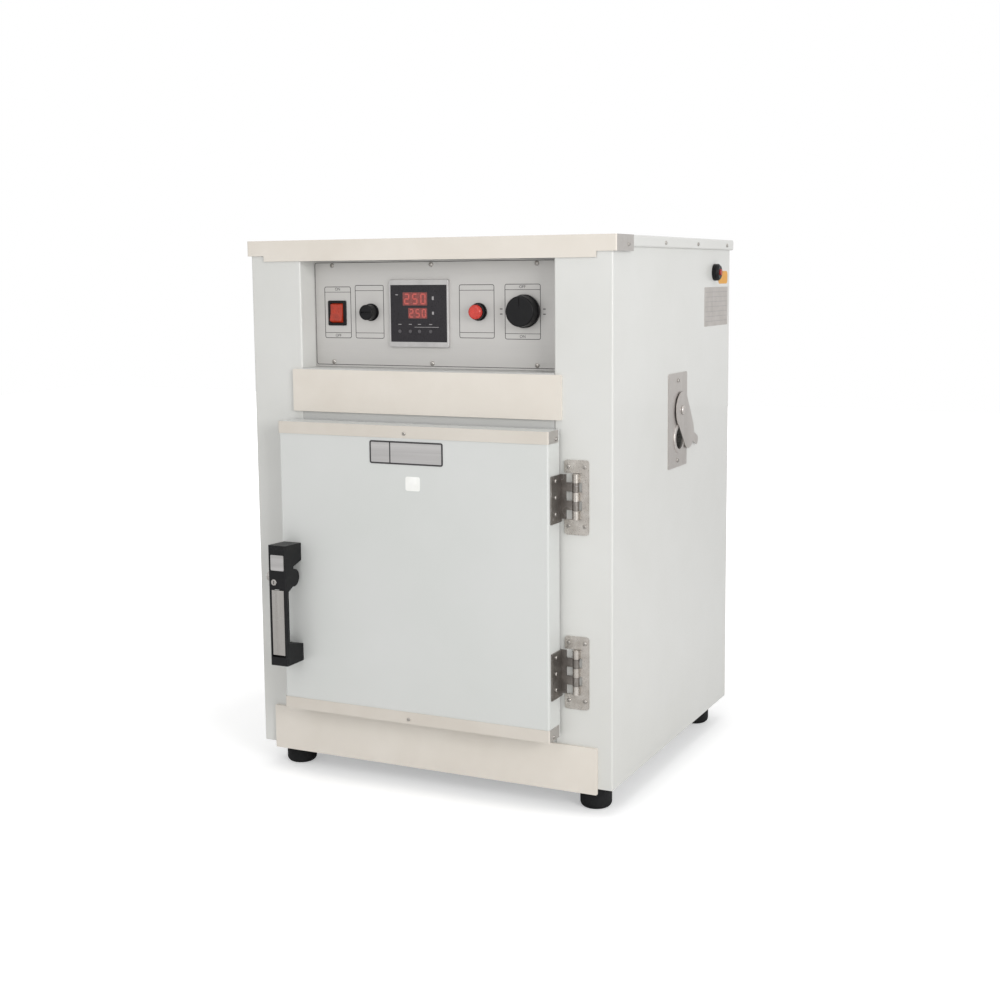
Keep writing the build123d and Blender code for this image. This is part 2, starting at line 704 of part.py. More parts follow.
# Tubular heater elements: two loops under the perforated cover
with BuildPart() as heater_elements:
    loop_z = CHAMBER_FLOOR + ELEMENT_HEIGHT
    bend_y = FRONT + 70
    half = ELEMENT_SPREAD / 2
    for x in ELEMENT_XS:
        with BuildLine(Plane.XY.offset(loop_z)) as loop:
            Line((LEFT + x - half, TERMINAL_END), (LEFT + x - half, bend_y))
            ThreePointArc(
                (LEFT + x - half, bend_y), (LEFT + x, bend_y - half), (LEFT + x + half, bend_y)
            )
            Line((LEFT + x + half, bend_y), (LEFT + x + half, TERMINAL_END))
        with BuildSketch(Plane(origin=(LEFT + x - half, TERMINAL_END, loop_z), z_dir=(0, -1, 0))) as tube:
            Circle(ELEMENT_RADIUS)
        sweep()
        for side in (-1, 1):
            rod((LEFT + x + side * half, TERMINAL_END, loop_z), (0, 1, 0), 2.0, 12.0)
finish("heater_elements", heater_elements)

# Perforated heater cover on the chamber floor
with BuildPart() as heater_cover:
    cover_left = CHAMBER_LEFT + CHAMBER_CORNER + 1
    cover_right = CHAMBER_RIGHT - CHAMBER_CORNER - 1
    cover_top = CHAMBER_FLOOR + COVER_HEIGHT
    extrude(
        bent_section(
            [
                (cover_left, CHAMBER_FLOOR),
                (cover_left, cover_top),
                (cover_right, cover_top),
                (cover_right, CHAMBER_FLOOR),
            ],
            OUTER_BEND,
            SHEET,
            Side.RIGHT,
            front_plane(CHAMBER_BACK - 2),
        ),
        amount=CHAMBER - 30,
    )
    with BuildSketch(Plane.XY.offset(cover_top + 1)) as perforation:
        with Locations((DOOR_X, FRONT + CHAMBER / 2 + 14)):
            with GridLocations(74, 42, 4, 7):
                SlotOverall(54, 12)
    extrude(amount=-SHEET - 2, mode=Mode.SUBTRACT)
finish("heater_cover", heater_cover)

# Side racks: two uprights and three angle runners, in one welded piece a side
RACK_UPRIGHT_YS = (60.0, 320.0)
RUNNER_START = 34.0
RUNNER_END = 350.0


def shelf_rack():
    """The rack on the chamber's left wall."""
    with BuildPart() as rack:
        inner = CHAMBER_LEFT + RACK_SHEET
        for y in RACK_UPRIGHT_YS:
            block(
                (CHAMBER_LEFT, inner),
                (FRONT + y - 9, FRONT + y + 9),
                (CHAMBER_FLOOR + CHAMBER_CORNER, CHAMBER_FLOOR + RUNNER_LEVELS[-1] + 30),
            )
        for level in RUNNER_LEVELS:
            extrude(
                bent_section(
                    [
                        (inner, CHAMBER_FLOOR + level + RUNNER_LEG),
                        (inner, CHAMBER_FLOOR + level - RACK_SHEET),
                        (inner + RACK_SHEET + RUNNER_LEG, CHAMBER_FLOOR + level - RACK_SHEET),
                    ],
                    OUTER_BEND,
                    RACK_SHEET,
                    Side.LEFT,
                    front_plane(FRONT + RUNNER_END),
                ),
                amount=RUNNER_END - RUNNER_START,
            )
    return rack.part


with BuildPart() as shelf_racks:
    add(shelf_rack())
    add(shelf_rack().mirror(Plane.YZ.offset(DOOR_X)))
finish("shelf_racks", shelf_racks)


def wire_shelf(level):
    """A wire shelf: a rectangular rod frame with cross wires lying on it."""
    z = CHAMBER_FLOOR + level + FIT + SHELF_FRAME_ROD
    half_width = CHAMBER / 2 - 2 * RACK_SHEET - SHELF_SIDE_GAP - SHELF_FRAME_ROD
    start = FRONT + SHELF_FRONT + SHELF_FRAME_ROD
    end = FRONT + SHELF_FRONT + SHELF_DEPTH - SHELF_FRAME_ROD
    corner = 12.0
    with BuildPart() as shelf:
        with BuildLine(Plane.XY.offset(z)) as outline:
            FilletPolyline(
                (DOOR_X - half_width, start),
                (DOOR_X + half_width, start),
                (DOOR_X + half_width, end),
                (DOOR_X - half_width, end),
                close=True,
                radius=corner,
            )
        with BuildSketch(Plane(origin=outline.line @ 0, z_dir=outline.line % 0)) as section:
            Circle(SHELF_FRAME_ROD)
        sweep()
        pitch = 2 * half_width / (SHELF_WIRES + 1)
        for index in range(SHELF_WIRES):
            x = DOOR_X - half_width + (index + 1) * pitch
            rod((x, start - 1, z + 1.0), (0, 1, 0), SHELF_WIRE_ROD, end - start + 2)
    return shelf.part


with BuildPart() as shelf_lower:
    add(wire_shelf(RUNNER_LEVELS[SHELF_LEVELS[0]]))
finish("shelf_lower", shelf_lower)

with BuildPart() as shelf_upper:
    add(wire_shelf(RUNNER_LEVELS[SHELF_LEVELS[1]]))
finish("shelf_upper", shelf_upper)

# Temperature probe through the chamber's back
with BuildPart() as temperature_probe:
    probe_z = BASE + PROBE_Z
    probe_tip = CHAMBER_BACK - PROBE_LENGTH
    rod((LEFT + PROBE_X, probe_tip, probe_z), (0, 1, 0), PROBE_RADIUS, TERMINAL_END - probe_tip)
    fillet(temperature_probe.faces().sort_by(Axis.Y)[0].edges(), 2.0)
    with BuildSketch(front_plane(INSULATION_BACK)) as probe_nut:
        with Locations((LEFT + PROBE_X, probe_z)):
            RegularPolygon(7, 6, major_radius=False)
    extrude(amount=-8)
finish("temperature_probe", temperature_probe)

# Vent: duct, plate with a rolled rim, and the leaf that swings over it
with BuildPart() as vent_duct:
    add(duct_shape(DUCT_OUTER))
    add(duct_shape(VENT_RADIUS), mode=Mode.SUBTRACT)
finish("vent_duct", vent_duct)

PLATE_FACE = RIGHT + SHEET
LEAF_BACK = PLATE_FACE + RIM_RAISE + FIT
PIVOT_YZ = (FRONT + SHUTTER_PIVOT_Y, BASE + SHUTTER_PIVOT_Z)
with BuildPart() as vent_plate:
    with BuildSketch(Plane.YZ.offset(RIGHT)) as plate_outline:
        with Locations(
            (
                FRONT + (VENT_PLATE_FRONT + VENT_PLATE_BACK) / 2,
                BASE + (VENT_PLATE_BOTTOM + VENT_PLATE_TOP) / 2,
            )
        ):
            RectangleRounded(VENT_PLATE_BACK - VENT_PLATE_FRONT, VENT_PLATE_TOP - VENT_PLATE_BOTTOM, 3)
    extrude(amount=SHEET)
    with BuildSketch(Plane.YZ.offset(PLATE_FACE)) as rim:
        with Locations(VENT_CENTRE):
            Circle(RIM_RADIUS)
    extrude(amount=RIM_RAISE)
    rim_edge = vent_plate.faces().sort_by(Axis.X)[-1].edges()
    fillet(rim_edge, 1.2)
    with BuildSketch(Plane.YZ.offset(RIGHT - 1)) as rim_hole:
        with Locations(VENT_CENTRE):
            Circle(VENT_RADIUS)
    extrude(amount=SHEET + RIM_RAISE + 2, mode=Mode.SUBTRACT)
    for y, z in VENT_SCREWS:
        screw_hole((PLATE_FACE, y, z), (-1, 0, 0), SHEET + 1)
    rod((PLATE_FACE, *PIVOT_YZ), (1, 0, 0), 6.0, RIM_RAISE)
    rod((PLATE_FACE, *PIVOT_YZ), (1, 0, 0), SHUTTER_PIN, RIM_RAISE + 2 * FIT + SHUTTER_SHEET + 0.5)
    rod((LEAF_BACK + SHUTTER_SHEET + FIT, *PIVOT_YZ), (1, 0, 0), 7.0, 2.6)
    fillet(vent_plate.faces().sort_by(Axis.X)[-1].edges(), 2.2)
finish("vent_plate", vent_plate)

with BuildPart() as vent_shutter:
    lobe = (FRONT + SHUTTER_LOBE_Y, BASE + SHUTTER_LOBE_Z)
    with BuildSketch(Plane.YZ.offset(LEAF_BACK)) as leaf_outline:
        with BuildLine():
            head_y, head_z = PIVOT_YZ
            away = Vector(lobe[0] - head_y, lobe[1] - head_z).normalized()
            across = Vector(-away.Y, away.X)
            left_start = Vector(*PIVOT_YZ) + across * SHUTTER_HEAD
            right_start = Vector(*PIVOT_YZ) - across * SHUTTER_HEAD
            ThreePointArc(left_start, Vector(*PIVOT_YZ) - away * SHUTTER_HEAD, right_start)
            Line(right_start, Vector(*lobe) - across * SHUTTER_LOBE)
            ThreePointArc(
                Vector(*lobe) - across * SHUTTER_LOBE,
                Vector(*lobe) + away * SHUTTER_LOBE,
                Vector(*lobe) + across * SHUTTER_LOBE,
            )
            Line(Vector(*lobe) + across * SHUTTER_LOBE, left_start)
        make_face()
        with Locations(Location((FRONT + 327, BASE + 456, 0), -22)):
            SlotOverall(44, 14)
        with Locations(PIVOT_YZ):
            Circle(SHUTTER_PIN + RUNNING_FIT, mode=Mode.SUBTRACT)
    extrude(amount=SHUTTER_SHEET)
finish("vent_shutter", vent_shutter)

# Reset button of the cut-out thermostat
with BuildPart() as reset_bezel:
    reset_at = (FRONT + RESET_Y, BASE + RESET_Z)
    rod((RIGHT, *reset_at), (1, 0, 0), RESET_RADIUS, RESET_BEZEL)
    chamfer(reset_bezel.faces().sort_by(Axis.X)[-1].edges(), 3.0)
    rod((RIGHT, *reset_at), (-1, 0, 0), 8.0, 14.0)
    rod((RIGHT - SHEET, *reset_at), (-1, 0, 0), 12.0, 4.0)
    rod((RIGHT - 14, *reset_at), (-1, 0, 0), 15.0, 24.0)
    rod((RIGHT - RESET_WELL, *reset_at), (1, 0, 0), RESET_BUTTON + FIT, 30.0, Mode.SUBTRACT)
finish("reset_bezel", reset_bezel)

with BuildPart() as reset_button:
    button_start = RIGHT - RESET_WELL + RESET_TRAVEL + FIT
    rod((button_start, *reset_at), (1, 0, 0), RESET_BUTTON, RIGHT + RESET_REACH - button_start)
    fillet(reset_button.faces().sort_by(Axis.X)[-1].edges(), 1.0)
finish("reset_button", reset_button)

# Temperature controller
CONTROLLER_FACE = PANEL_FACE - CONTROLLER_PROUD
controller_at = (LEFT + CONTROLLER_X, BASE + CONTROLLER_Z)
FACE_SHEET = 2.0
KEY_LENGTH = FACE_SHEET + 2.7
with BuildPart() as controller_bezel:
    with BuildSketch(front_plane(PANEL_FACE)) as bezel_outline:
        with Locations(controller_at):
            RectangleRounded(CONTROLLER_SIZE, CONTROLLER_SIZE, 2.5)
    extrude(amount=CONTROLLER_PROUD)
    fillet(controller_bezel.faces().sort_by(Axis.Y)[0].edges(), 0.8)
    block(
        (controller_at[0] - CONTROLLER_CASE / 2, controller_at[0] + CONTROLLER_CASE / 2),
        (PANEL_FACE, PANEL_FACE + CONTROLLER_DEPTH),
        (controller_at[1] - CONTROLLER_CASE / 2, controller_at[1] + CONTROLLER_CASE / 2),
    )
    block(
        (controller_at[0] - FACE_WIDTH / 2, controller_at[0] + FACE_WIDTH / 2),
        (CONTROLLER_FACE - 1, CONTROLLER_FACE + FACE_SHEET),
        (controller_at[1] - FACE_HEIGHT / 2, controller_at[1] + FACE_HEIGHT / 2),
        Mode.SUBTRACT,
    )
    for x in KEY_XS:
        rod(
            (LEFT + x, CONTROLLER_FACE, BASE + KEY_Z),
            (0, 1, 0),
            KEY_RADIUS + FIT,
            FACE_SHEET + 3.0,
            Mode.SUBTRACT,
        )
finish("controller_bezel", controller_bezel)

with BuildPart() as controller_face:
    block(
        (controller_at[0] - FACE_WIDTH / 2, controller_at[0] + FACE_WIDTH / 2),
        (CONTROLLER_FACE + 0.4, CONTROLLER_FACE + FACE_SHEET),
        (controller_at[1] - FACE_HEIGHT / 2, controller_at[1] + FACE_HEIGHT / 2),
    )
    for x in KEY_XS:
        rod((LEFT + x, CONTROLLER_FACE - 1, BASE + KEY_Z), (0, 1, 0), KEY_RADIUS + FIT, 5.0, Mode.SUBTRACT)
finish("controller_face", controller_face)

for number, x in enumerate(KEY_XS, start=1):
    with BuildPart() as controller_key:
        rod((LEFT + x, CONTROLLER_FACE - KEY_TRAVEL, BASE + KEY_Z), (0, 1, 0), KEY_RADIUS, KEY_LENGTH)
        fillet(controller_key.faces().sort_by(Axis.Y)[0].edges(), 0.5)
    finish(f"controller_key_{number}", controller_key)

# Mains rocker switch
ROCKER_PIVOT_Y = PANEL_FACE + 3.0
rocker_at = (LEFT + ROCKER_X, BASE + ROCKER_Z)
with BuildPart() as rocker_bezel:
    with BuildSketch(front_plane(PANEL_FACE)) as rocker_outline:
        with Locations(rocker_at):
            RectangleRounded(ROCKER_BEZEL_WIDTH, ROCKER_BEZEL_HEIGHT, 2)
    extrude(amount=2.0)
    fillet(rocker_bezel.faces().sort_by(Axis.Y)[0].edges(), 0.8)
    with BuildSketch(front_plane(PANEL_FACE)) as rocker_case:
        with Locations(rocker_at):
            Rectangle(ROCKER_BEZEL_WIDTH - 3.4, ROCKER_BEZEL_HEIGHT - 3.4)
    extrude(amount=-24.0)
    block(
        (rocker_at[0] - ROCKER_WIDTH / 2 - 0.5, rocker_at[0] + ROCKER_WIDTH / 2 + 0.5),
        (PANEL_FACE - 3, ROCKER_PIVOT_Y + 8),
        (rocker_at[1] - ROCKER_RADIUS - 0.6, rocker_at[1] + ROCKER_RADIUS + 0.6),
        Mode.SUBTRACT,
    )
    pin_hole = (rocker_at[0] - ROCKER_WIDTH / 2 - 2.5, ROCKER_PIVOT_Y, rocker_at[1])
    rod(pin_hole, (1, 0, 0), ROCKER_PIN + RUNNING_FIT, ROCKER_WIDTH + 5, Mode.SUBTRACT)
finish("rocker_bezel", rocker_bezel)

ROCKER_PROUD = 6.0
ROCKER_SPAN = 2 * ROCKER_RADIUS
with BuildPart() as rocker:
    with BuildSketch(Plane.YZ.offset(rocker_at[0] - ROCKER_WIDTH / 2)) as rocker_side:
        with Locations((ROCKER_PIVOT_Y, rocker_at[1])):
            Circle(ROCKER_RADIUS)
            Rectangle(ROCKER_SPAN, ROCKER_SPAN + 2, align=(Align.MIN, Align.CENTER), mode=Mode.SUBTRACT)
        with Locations((ROCKER_PIVOT_Y - ROCKER_PROUD, rocker_at[1])):
            Rectangle(ROCKER_SPAN, ROCKER_SPAN, align=(Align.MAX, Align.MIN), mode=Mode.SUBTRACT)
        with Locations(Location((ROCKER_PIVOT_Y - ROCKER_PROUD, rocker_at[1], 0), -ROCKER_TILT)):
            Rectangle(ROCKER_SPAN, ROCKER_SPAN, align=(Align.MAX, Align.MAX), mode=Mode.SUBTRACT)
        with Locations((ROCKER_PIVOT_Y, rocker_at[1])):
            Circle(5.0)
    extrude(amount=ROCKER_WIDTH)
    pin_start = (rocker_at[0] - ROCKER_WIDTH / 2 - 2.0, ROCKER_PIVOT_Y, rocker_at[1])
    rod(pin_start, (1, 0, 0), ROCKER_PIN, ROCKER_WIDTH + 4)
finish("rocker", rocker)

# Fuse holder and its cap
fuse_at = (LEFT + FUSE_X, BASE + FUSE_Z)
with BuildPart() as fuse_holder:
    rod((fuse_at[0], PANEL_FACE, fuse_at[1]), (0, -1, 0), BASE_RING_RADIUS, BASE_RING)
    rod((fuse_at[0], PANEL_FACE, fuse_at[1]), (0, 1, 0), BASE_RING_RADIUS - 3.5, 36.0)
    rod((fuse_at[0], PANEL_FACE + SHEET, fuse_at[1]), (0, 1, 0), BASE_RING_RADIUS, 4.0)
    rod((fuse_at[0], PANEL_FACE - BASE_RING - 1, fuse_at[1]), (0, 1, 0), 6.3, 32.0, Mode.SUBTRACT)
finish("fuse_holder", fuse_holder)

with BuildPart() as fuse_cap:
    cap_back = PANEL_FACE - BASE_RING - FIT
    cap_front = PANEL_FACE - FUSE_REACH
    rod((fuse_at[0], cap_back, fuse_at[1]), (0, -1, 0), FUSE_RADIUS, cap_back - cap_front)
    fillet(fuse_cap.faces().sort_by(Axis.Y)[0].edges(), 1.5)
    block(
        (fuse_at[0] - 8, fuse_at[0] + 8),
        (cap_front - 1, cap_front + 3),
        (fuse_at[1] - 1, fuse_at[1] + 1),
        Mode.SUBTRACT,
    )
    rod((fuse_at[0], cap_back, fuse_at[1]), (0, 1, 0), 6.0, 26.0)
finish("fuse_cap", fuse_cap)

# Indicator lamp
lamp_at = (LEFT + LAMP_X, BASE + LAMP_Z)
with BuildPart() as lamp_body:
    rod((lamp_at[0], PANEL_FACE, lamp_at[1]), (0, -1, 0), BASE_RING_RADIUS, BASE_RING)
    rod((lamp_at[0], PANEL_FACE - BASE_RING, lamp_at[1]), (0, -1, 0), LAMP_RADIUS, LAMP_REACH - BASE_RING - 6)
    rod((lamp_at[0], PANEL_FACE, lamp_at[1]), (0, 1, 0), BASE_RING_RADIUS - 3.5, 30.0)
    rod((lamp_at[0], PANEL_FACE + SHEET, lamp_at[1]), (0, 1, 0), BASE_RING_RADIUS, 4.0)
finish("lamp_body", lamp_body)

with BuildPart() as lamp_lens:
    rod((lamp_at[0], PANEL_FACE - LAMP_REACH + 6, lamp_at[1]), (0, -1, 0), LAMP_RADIUS - 1, 6.0)
    fillet(lamp_lens.faces().sort_by(Axis.Y)[0].edges(), 3.5)
finish("lamp_lens", lamp_lens)

# Selector switch and its knob
knob_at = (LEFT + KNOB_X, BASE + KNOB_Z)
with BuildPart() as selector_switch:
    rod((knob_at[0], PANEL_FACE + SHEET, knob_at[1]), (0, 1, 0), 20.0, 34.0)
    rod((knob_at[0], PANEL_FACE + SHEET, knob_at[1]), (0, -1, 0), 5.0, SHEET + 5.0)
    with BuildSketch(front_plane(PANEL_FACE)) as bushing_nut:
        with Locations(knob_at):
            RegularPolygon(6.5, 6, major_radius=False)
    extrude(amount=2.5)
    rod((knob_at[0], PANEL_FACE - 10, knob_at[1]), (0, 1, 0), KNOB_SHAFT + RUNNING_FIT, 30.0, Mode.SUBTRACT)
finish("selector_switch", selector_switch)

KNOB_BACK = PANEL_FACE - 1.5
KNOB_SKIRT = 4.0
with BuildPart() as selector_knob:
    rod((knob_at[0], KNOB_BACK, knob_at[1]), (0, -1, 0), KNOB_RADIUS, KNOB_SKIRT)
    with BuildSketch(front_plane(KNOB_BACK - KNOB_SKIRT)) as knob_body:
        with Locations(knob_at):
            Circle(KNOB_RADIUS - 1.0)
    extrude(amount=KNOB_REACH - KNOB_SKIRT - 1.5, taper=4)
    fillet(selector_knob.faces().sort_by(Axis.Y)[0].edges(), 2.0)
    rod((knob_at[0], KNOB_BACK + 1, knob_at[1]), (0, -1, 0), 9.0, 8.0, Mode.SUBTRACT)
    block(
        (knob_at[0] - 0.9, knob_at[0] + 0.9),
        (PANEL_FACE - KNOB_REACH - 1, PANEL_FACE - KNOB_REACH + 0.8),
        (knob_at[1] + 7, knob_at[1] + 19),
        Mode.SUBTRACT,
    )
    rod((knob_at[0], KNOB_BACK - 5, knob_at[1]), (0, -1, 0), KNOB_SHAFT + RUNNING_FIT, 8.0, Mode.SUBTRACT)
finish("selector_knob", selector_knob)

with BuildPart() as selector_shaft:
    shaft_front = KNOB_BACK - 12.5
    rod((knob_at[0], shaft_front, knob_at[1]), (0, 1, 0), KNOB_SHAFT, PANEL_FACE + 18 - shaft_front)
finish("selector_shaft", selector_shaft)

# Control tray above the insulation, with the contactor and the terminal block
TRAY_Z = CHAMBER_CEILING + wrap + 30
with BuildPart() as control_tray:
    extrude(
        bent_section(
            [
                (LEFT + SHEET, TRAY_Z + 18),
                (LEFT + SHEET, TRAY_Z),
                (RIGHT - SHEET, TRAY_Z),
                (RIGHT - SHEET, TRAY_Z + 18),
            ],
            OUTER_BEND,
            SHEET,
            Side.LEFT,
            front_plane(BACK - 2 * SHEET),
        ),
        amount=DEPTH - RECESS_DEPTH - FLANGE - 10,
    )
finish("control_tray", control_tray)

with BuildPart() as contactor:
    tray_top = TRAY_Z + SHEET
    cx = LEFT + 400
    cy = FRONT + 400
    block((cx, cx + 45), (cy, cy + 60), (tray_top, tray_top + 50))
    block((cx + 4, cx + 41), (cy + 12, cy + 48), (tray_top + 50, tray_top + 66))
    chamfer(contactor.faces().sort_by(Axis.Z)[-1].edges(), 2)
finish("contactor", contactor)

with BuildPart() as terminal_block:
    tx = LEFT + 120
    ty = FRONT + 430
    block((tx, tx + 72), (ty, ty + 22), (tray_top, tray_top + 18))
    for index in range(6):
        rod((tx + 6 + index * 12, ty + 6, tray_top + 19), (0, 0, -1), 3.0, 8.0, Mode.SUBTRACT)
        rod((tx + 6 + index * 12, ty + 16, tray_top + 19), (0, 0, -1), 3.0, 8.0, Mode.SUBTRACT)
finish("terminal_block", terminal_block)

# Cable gland in the back panel
with BuildPart() as cable_gland:
    gland_at = (LEFT + GLAND_X, BASE + GLAND_Z)
    with BuildSketch(front_plane(BACK_FACE)) as gland_hex:
        with Locations(gland_at):
            RegularPolygon(GLAND_RADIUS, 6, major_radius=False)
    extrude(amount=-5)
    rod((gland_at[0], BACK_FACE + 5, gland_at[1]), (0, 1, 0), GLAND_RADIUS - 2, GLAND_REACH - SHEET - 5)
    fillet(cable_gland.faces().sort_by(Axis.Y)[-1].edges(), 4.0)
    rod((gland_at[0], BACK_FACE, gland_at[1]), (0, -1, 0), GLAND_RADIUS - 4, 14.0)
    rod((gland_at[0], BACK, gland_at[1]), (0, -1, 0), GLAND_RADIUS, 5.0)
    rod((gland_at[0], BACK - 20, gland_at[1]), (0, 1, 0), CABLE_BORE, 60.0, Mode.SUBTRACT)
finish("cable_gland", cable_gland)

# Screws of the cabinet
with BuildPart() as cabinet_screws:
    for side, direction in ((LID_SIDE, (1, 0, 0)), (RIGHT + LID_OVERHANG - TRIM_SHEET, (-1, 0, 0))):
        for y in LID_SCREW_YS:
            screw((side, FRONT + y, LID_SCREW_Z), direction, length=10.0, head=2.9)
    screw((LEFT - LID_OVERHANG, *TRIM_SCREW), (1, 0, 0), length=10.0, head=2.6)
    screw((RIGHT + LID_OVERHANG, *TRIM_SCREW), (-1, 0, 0), length=10.0, head=2.6)
    for x in (LEFT + BACK_SCREW_INSET, RIGHT - BACK_SCREW_INSET):
        for z in BACK_SCREW_ZS:
            screw((x, BACK_FACE, BASE + z), (0, -1, 0))
    for y, z in VENT_SCREWS:
        screw((PLATE_FACE, y, z), (-1, 0, 0))
    for x, z in PANEL_SCREWS:
        screw((x, PANEL_FACE, z), (0, 1, 0))
    for x, z in HINGE_SCREWS:
        screw((x, FRONT - LEAF_SHEET, z), (0, 1, 0), head=2.9)
finish("cabinet_screws", cabinet_screws)

# Door: outer shell, inner pan, insulation and gasket
with BuildPart() as door_shell:
    block((DOOR_EDGE_LEFT, DOOR_EDGE_RIGHT), (DOOR_FACE, DOOR_BACK), (DOOR_EDGE_BOTTOM, DOOR_EDGE_TOP))
    fillet(door_shell.edges().filter_by(Axis.Z).group_by(Axis.Y)[0], 2.5)
    block(
        (DOOR_EDGE_LEFT + SHEET, DOOR_EDGE_RIGHT - SHEET),
        (DOOR_FACE + SHEET, DOOR_BACK - SHEET),
        (DOOR_EDGE_BOTTOM + SHEET, DOOR_EDGE_TOP - SHEET),
        Mode.SUBTRACT,
    )
    with BuildSketch(front_plane(DOOR_BACK + 1)) as door_opening:
        with Locations((DOOR_X, DOOR_Z)):
            opening = CHAMBER - 2 * PLUG_GAP - 10
            RectangleRounded(opening, opening, 8)
    extrude(amount=SHEET + 2, mode=Mode.SUBTRACT)
finish("door_shell", door_shell)

plug = CHAMBER - 2 * PLUG_GAP
with BuildPart() as door_liner:
    with BuildSketch(front_plane(DOOR_BACK)) as liner_base:
        with Locations((DOOR_X, DOOR_Z)):
            RectangleRounded(plug + 24, plug + 24, 10)
    extrude(amount=-LINER_SHEET)
    with BuildSketch(front_plane(DOOR_BACK)) as plug_outer:
        with Locations((DOOR_X, DOOR_Z)):
            RectangleRounded(plug, plug, 9)
    extrude(amount=-(PLUG_DEPTH + FRONT - DOOR_BACK))
    fillet(door_liner.faces().sort_by(Axis.Y)[-1].edges(), 3.0)
    with BuildSketch(front_plane(DOOR_BACK - 1)) as plug_inner:
        with Locations((DOOR_X, DOOR_Z)):
            RectangleRounded(plug - 2 * LINER_SHEET, plug - 2 * LINER_SHEET, 8)
    extrude(amount=-(PLUG_DEPTH + FRONT - DOOR_BACK - LINER_SHEET + 1), mode=Mode.SUBTRACT)
finish("door_liner", door_liner)

with BuildPart() as door_insulation:
    reach = DOOR_SIZE / 2 - SHEET - FIT
    block(
        (DOOR_X - reach, DOOR_X + reach),
        (DOOR_FACE + SHEET + FIT, DOOR_BACK - SHEET - FIT),
        (DOOR_Z - reach, DOOR_Z + reach),
    )
    with BuildSketch(front_plane(DOOR_BACK - SHEET - 2 * FIT)) as plug_filling:
        with Locations((DOOR_X, DOOR_Z)):
            RectangleRounded(opening - 2, opening - 2, 8)
    extrude(amount=-(FRONT + PLUG_DEPTH - LINER_SHEET - FIT - DOOR_BACK + SHEET + 2 * FIT))
finish("door_insulation", door_insulation)

with BuildPart() as door_gasket:
    with BuildSketch(front_plane(DOOR_BACK)) as gasket_ring:
        with Locations((DOOR_X, DOOR_Z)):
            RectangleRounded(plug + 52, plug + 52, 20)
            RectangleRounded(plug + 26, plug + 26, 11, mode=Mode.SUBTRACT)
    extrude(amount=-GASKET)
    fillet(door_gasket.faces().sort_by(Axis.Y)[-1].edges(), 1.2)
finish("door_gasket", door_gasket)

DOOR_TRIM_BOTTOMS = (DOOR_EDGE_BOTTOM, DOOR_EDGE_TOP - DOOR_TRIM_HEIGHT)
TRIM_SCREW_YS = {DOOR_TRIM_BOTTOMS[0]: -28.0, DOOR_TRIM_BOTTOMS[1]: -17.0}


def door_trim_screws(bottom):
    """Seat and direction of the three screws of one door trim."""
    side_y = FRONT + TRIM_SCREW_YS[bottom]
    return (
        ((DOOR_X - 5, DOOR_FACE - DOOR_TRIM_SHEET, bottom + 6.5), (0, 1, 0)),
        ((DOOR_EDGE_LEFT - DOOR_TRIM_SHEET, side_y, bottom + 5.0), (1, 0, 0)),
        ((DOOR_EDGE_RIGHT + DOOR_TRIM_SHEET, side_y, bottom + 5.0), (-1, 0, 0)),
    )


def door_trim(bottom):
    """A strip across the door's front that returns along both of its sides."""
    trim_left = DOOR_EDGE_LEFT - DOOR_TRIM_SHEET
    trim_right = DOOR_EDGE_RIGHT + DOOR_TRIM_SHEET
    face = DOOR_FACE - DOOR_TRIM_SHEET
    with BuildPart() as trim:
        extrude(
            bent_section(
                [
                    (trim_left, face + DOOR_TRIM_RETURN),
                    (trim_left, face),
                    (trim_right, face),
                    (trim_right, face + DOOR_TRIM_RETURN),
                ],
                OUTER_BEND,
                DOOR_TRIM_SHEET,
                Side.LEFT,
                Plane.XY.offset(bottom),
            ),
            amount=DOOR_TRIM_HEIGHT,
        )
        for seat, direction in door_trim_screws(bottom):
            screw_hole(seat, direction, DOOR_TRIM_SHEET + 0.5)
    return trim.part


with BuildPart() as door_trims:
    for bottom in DOOR_TRIM_BOTTOMS:
        add(door_trim(bottom))
finish("door_trims", door_trims)

# Hinges: frame leaves carry three knuckles each, door leaves two
def knuckle_span(bottom, index):
    """The lower and upper end of one knuckle."""
    low = BASE + bottom + index * KNUCKLE_HEIGHT
    return (low + KNUCKLE_GAP / 2, low + KNUCKLE_HEIGHT - KNUCKLE_GAP / 2)


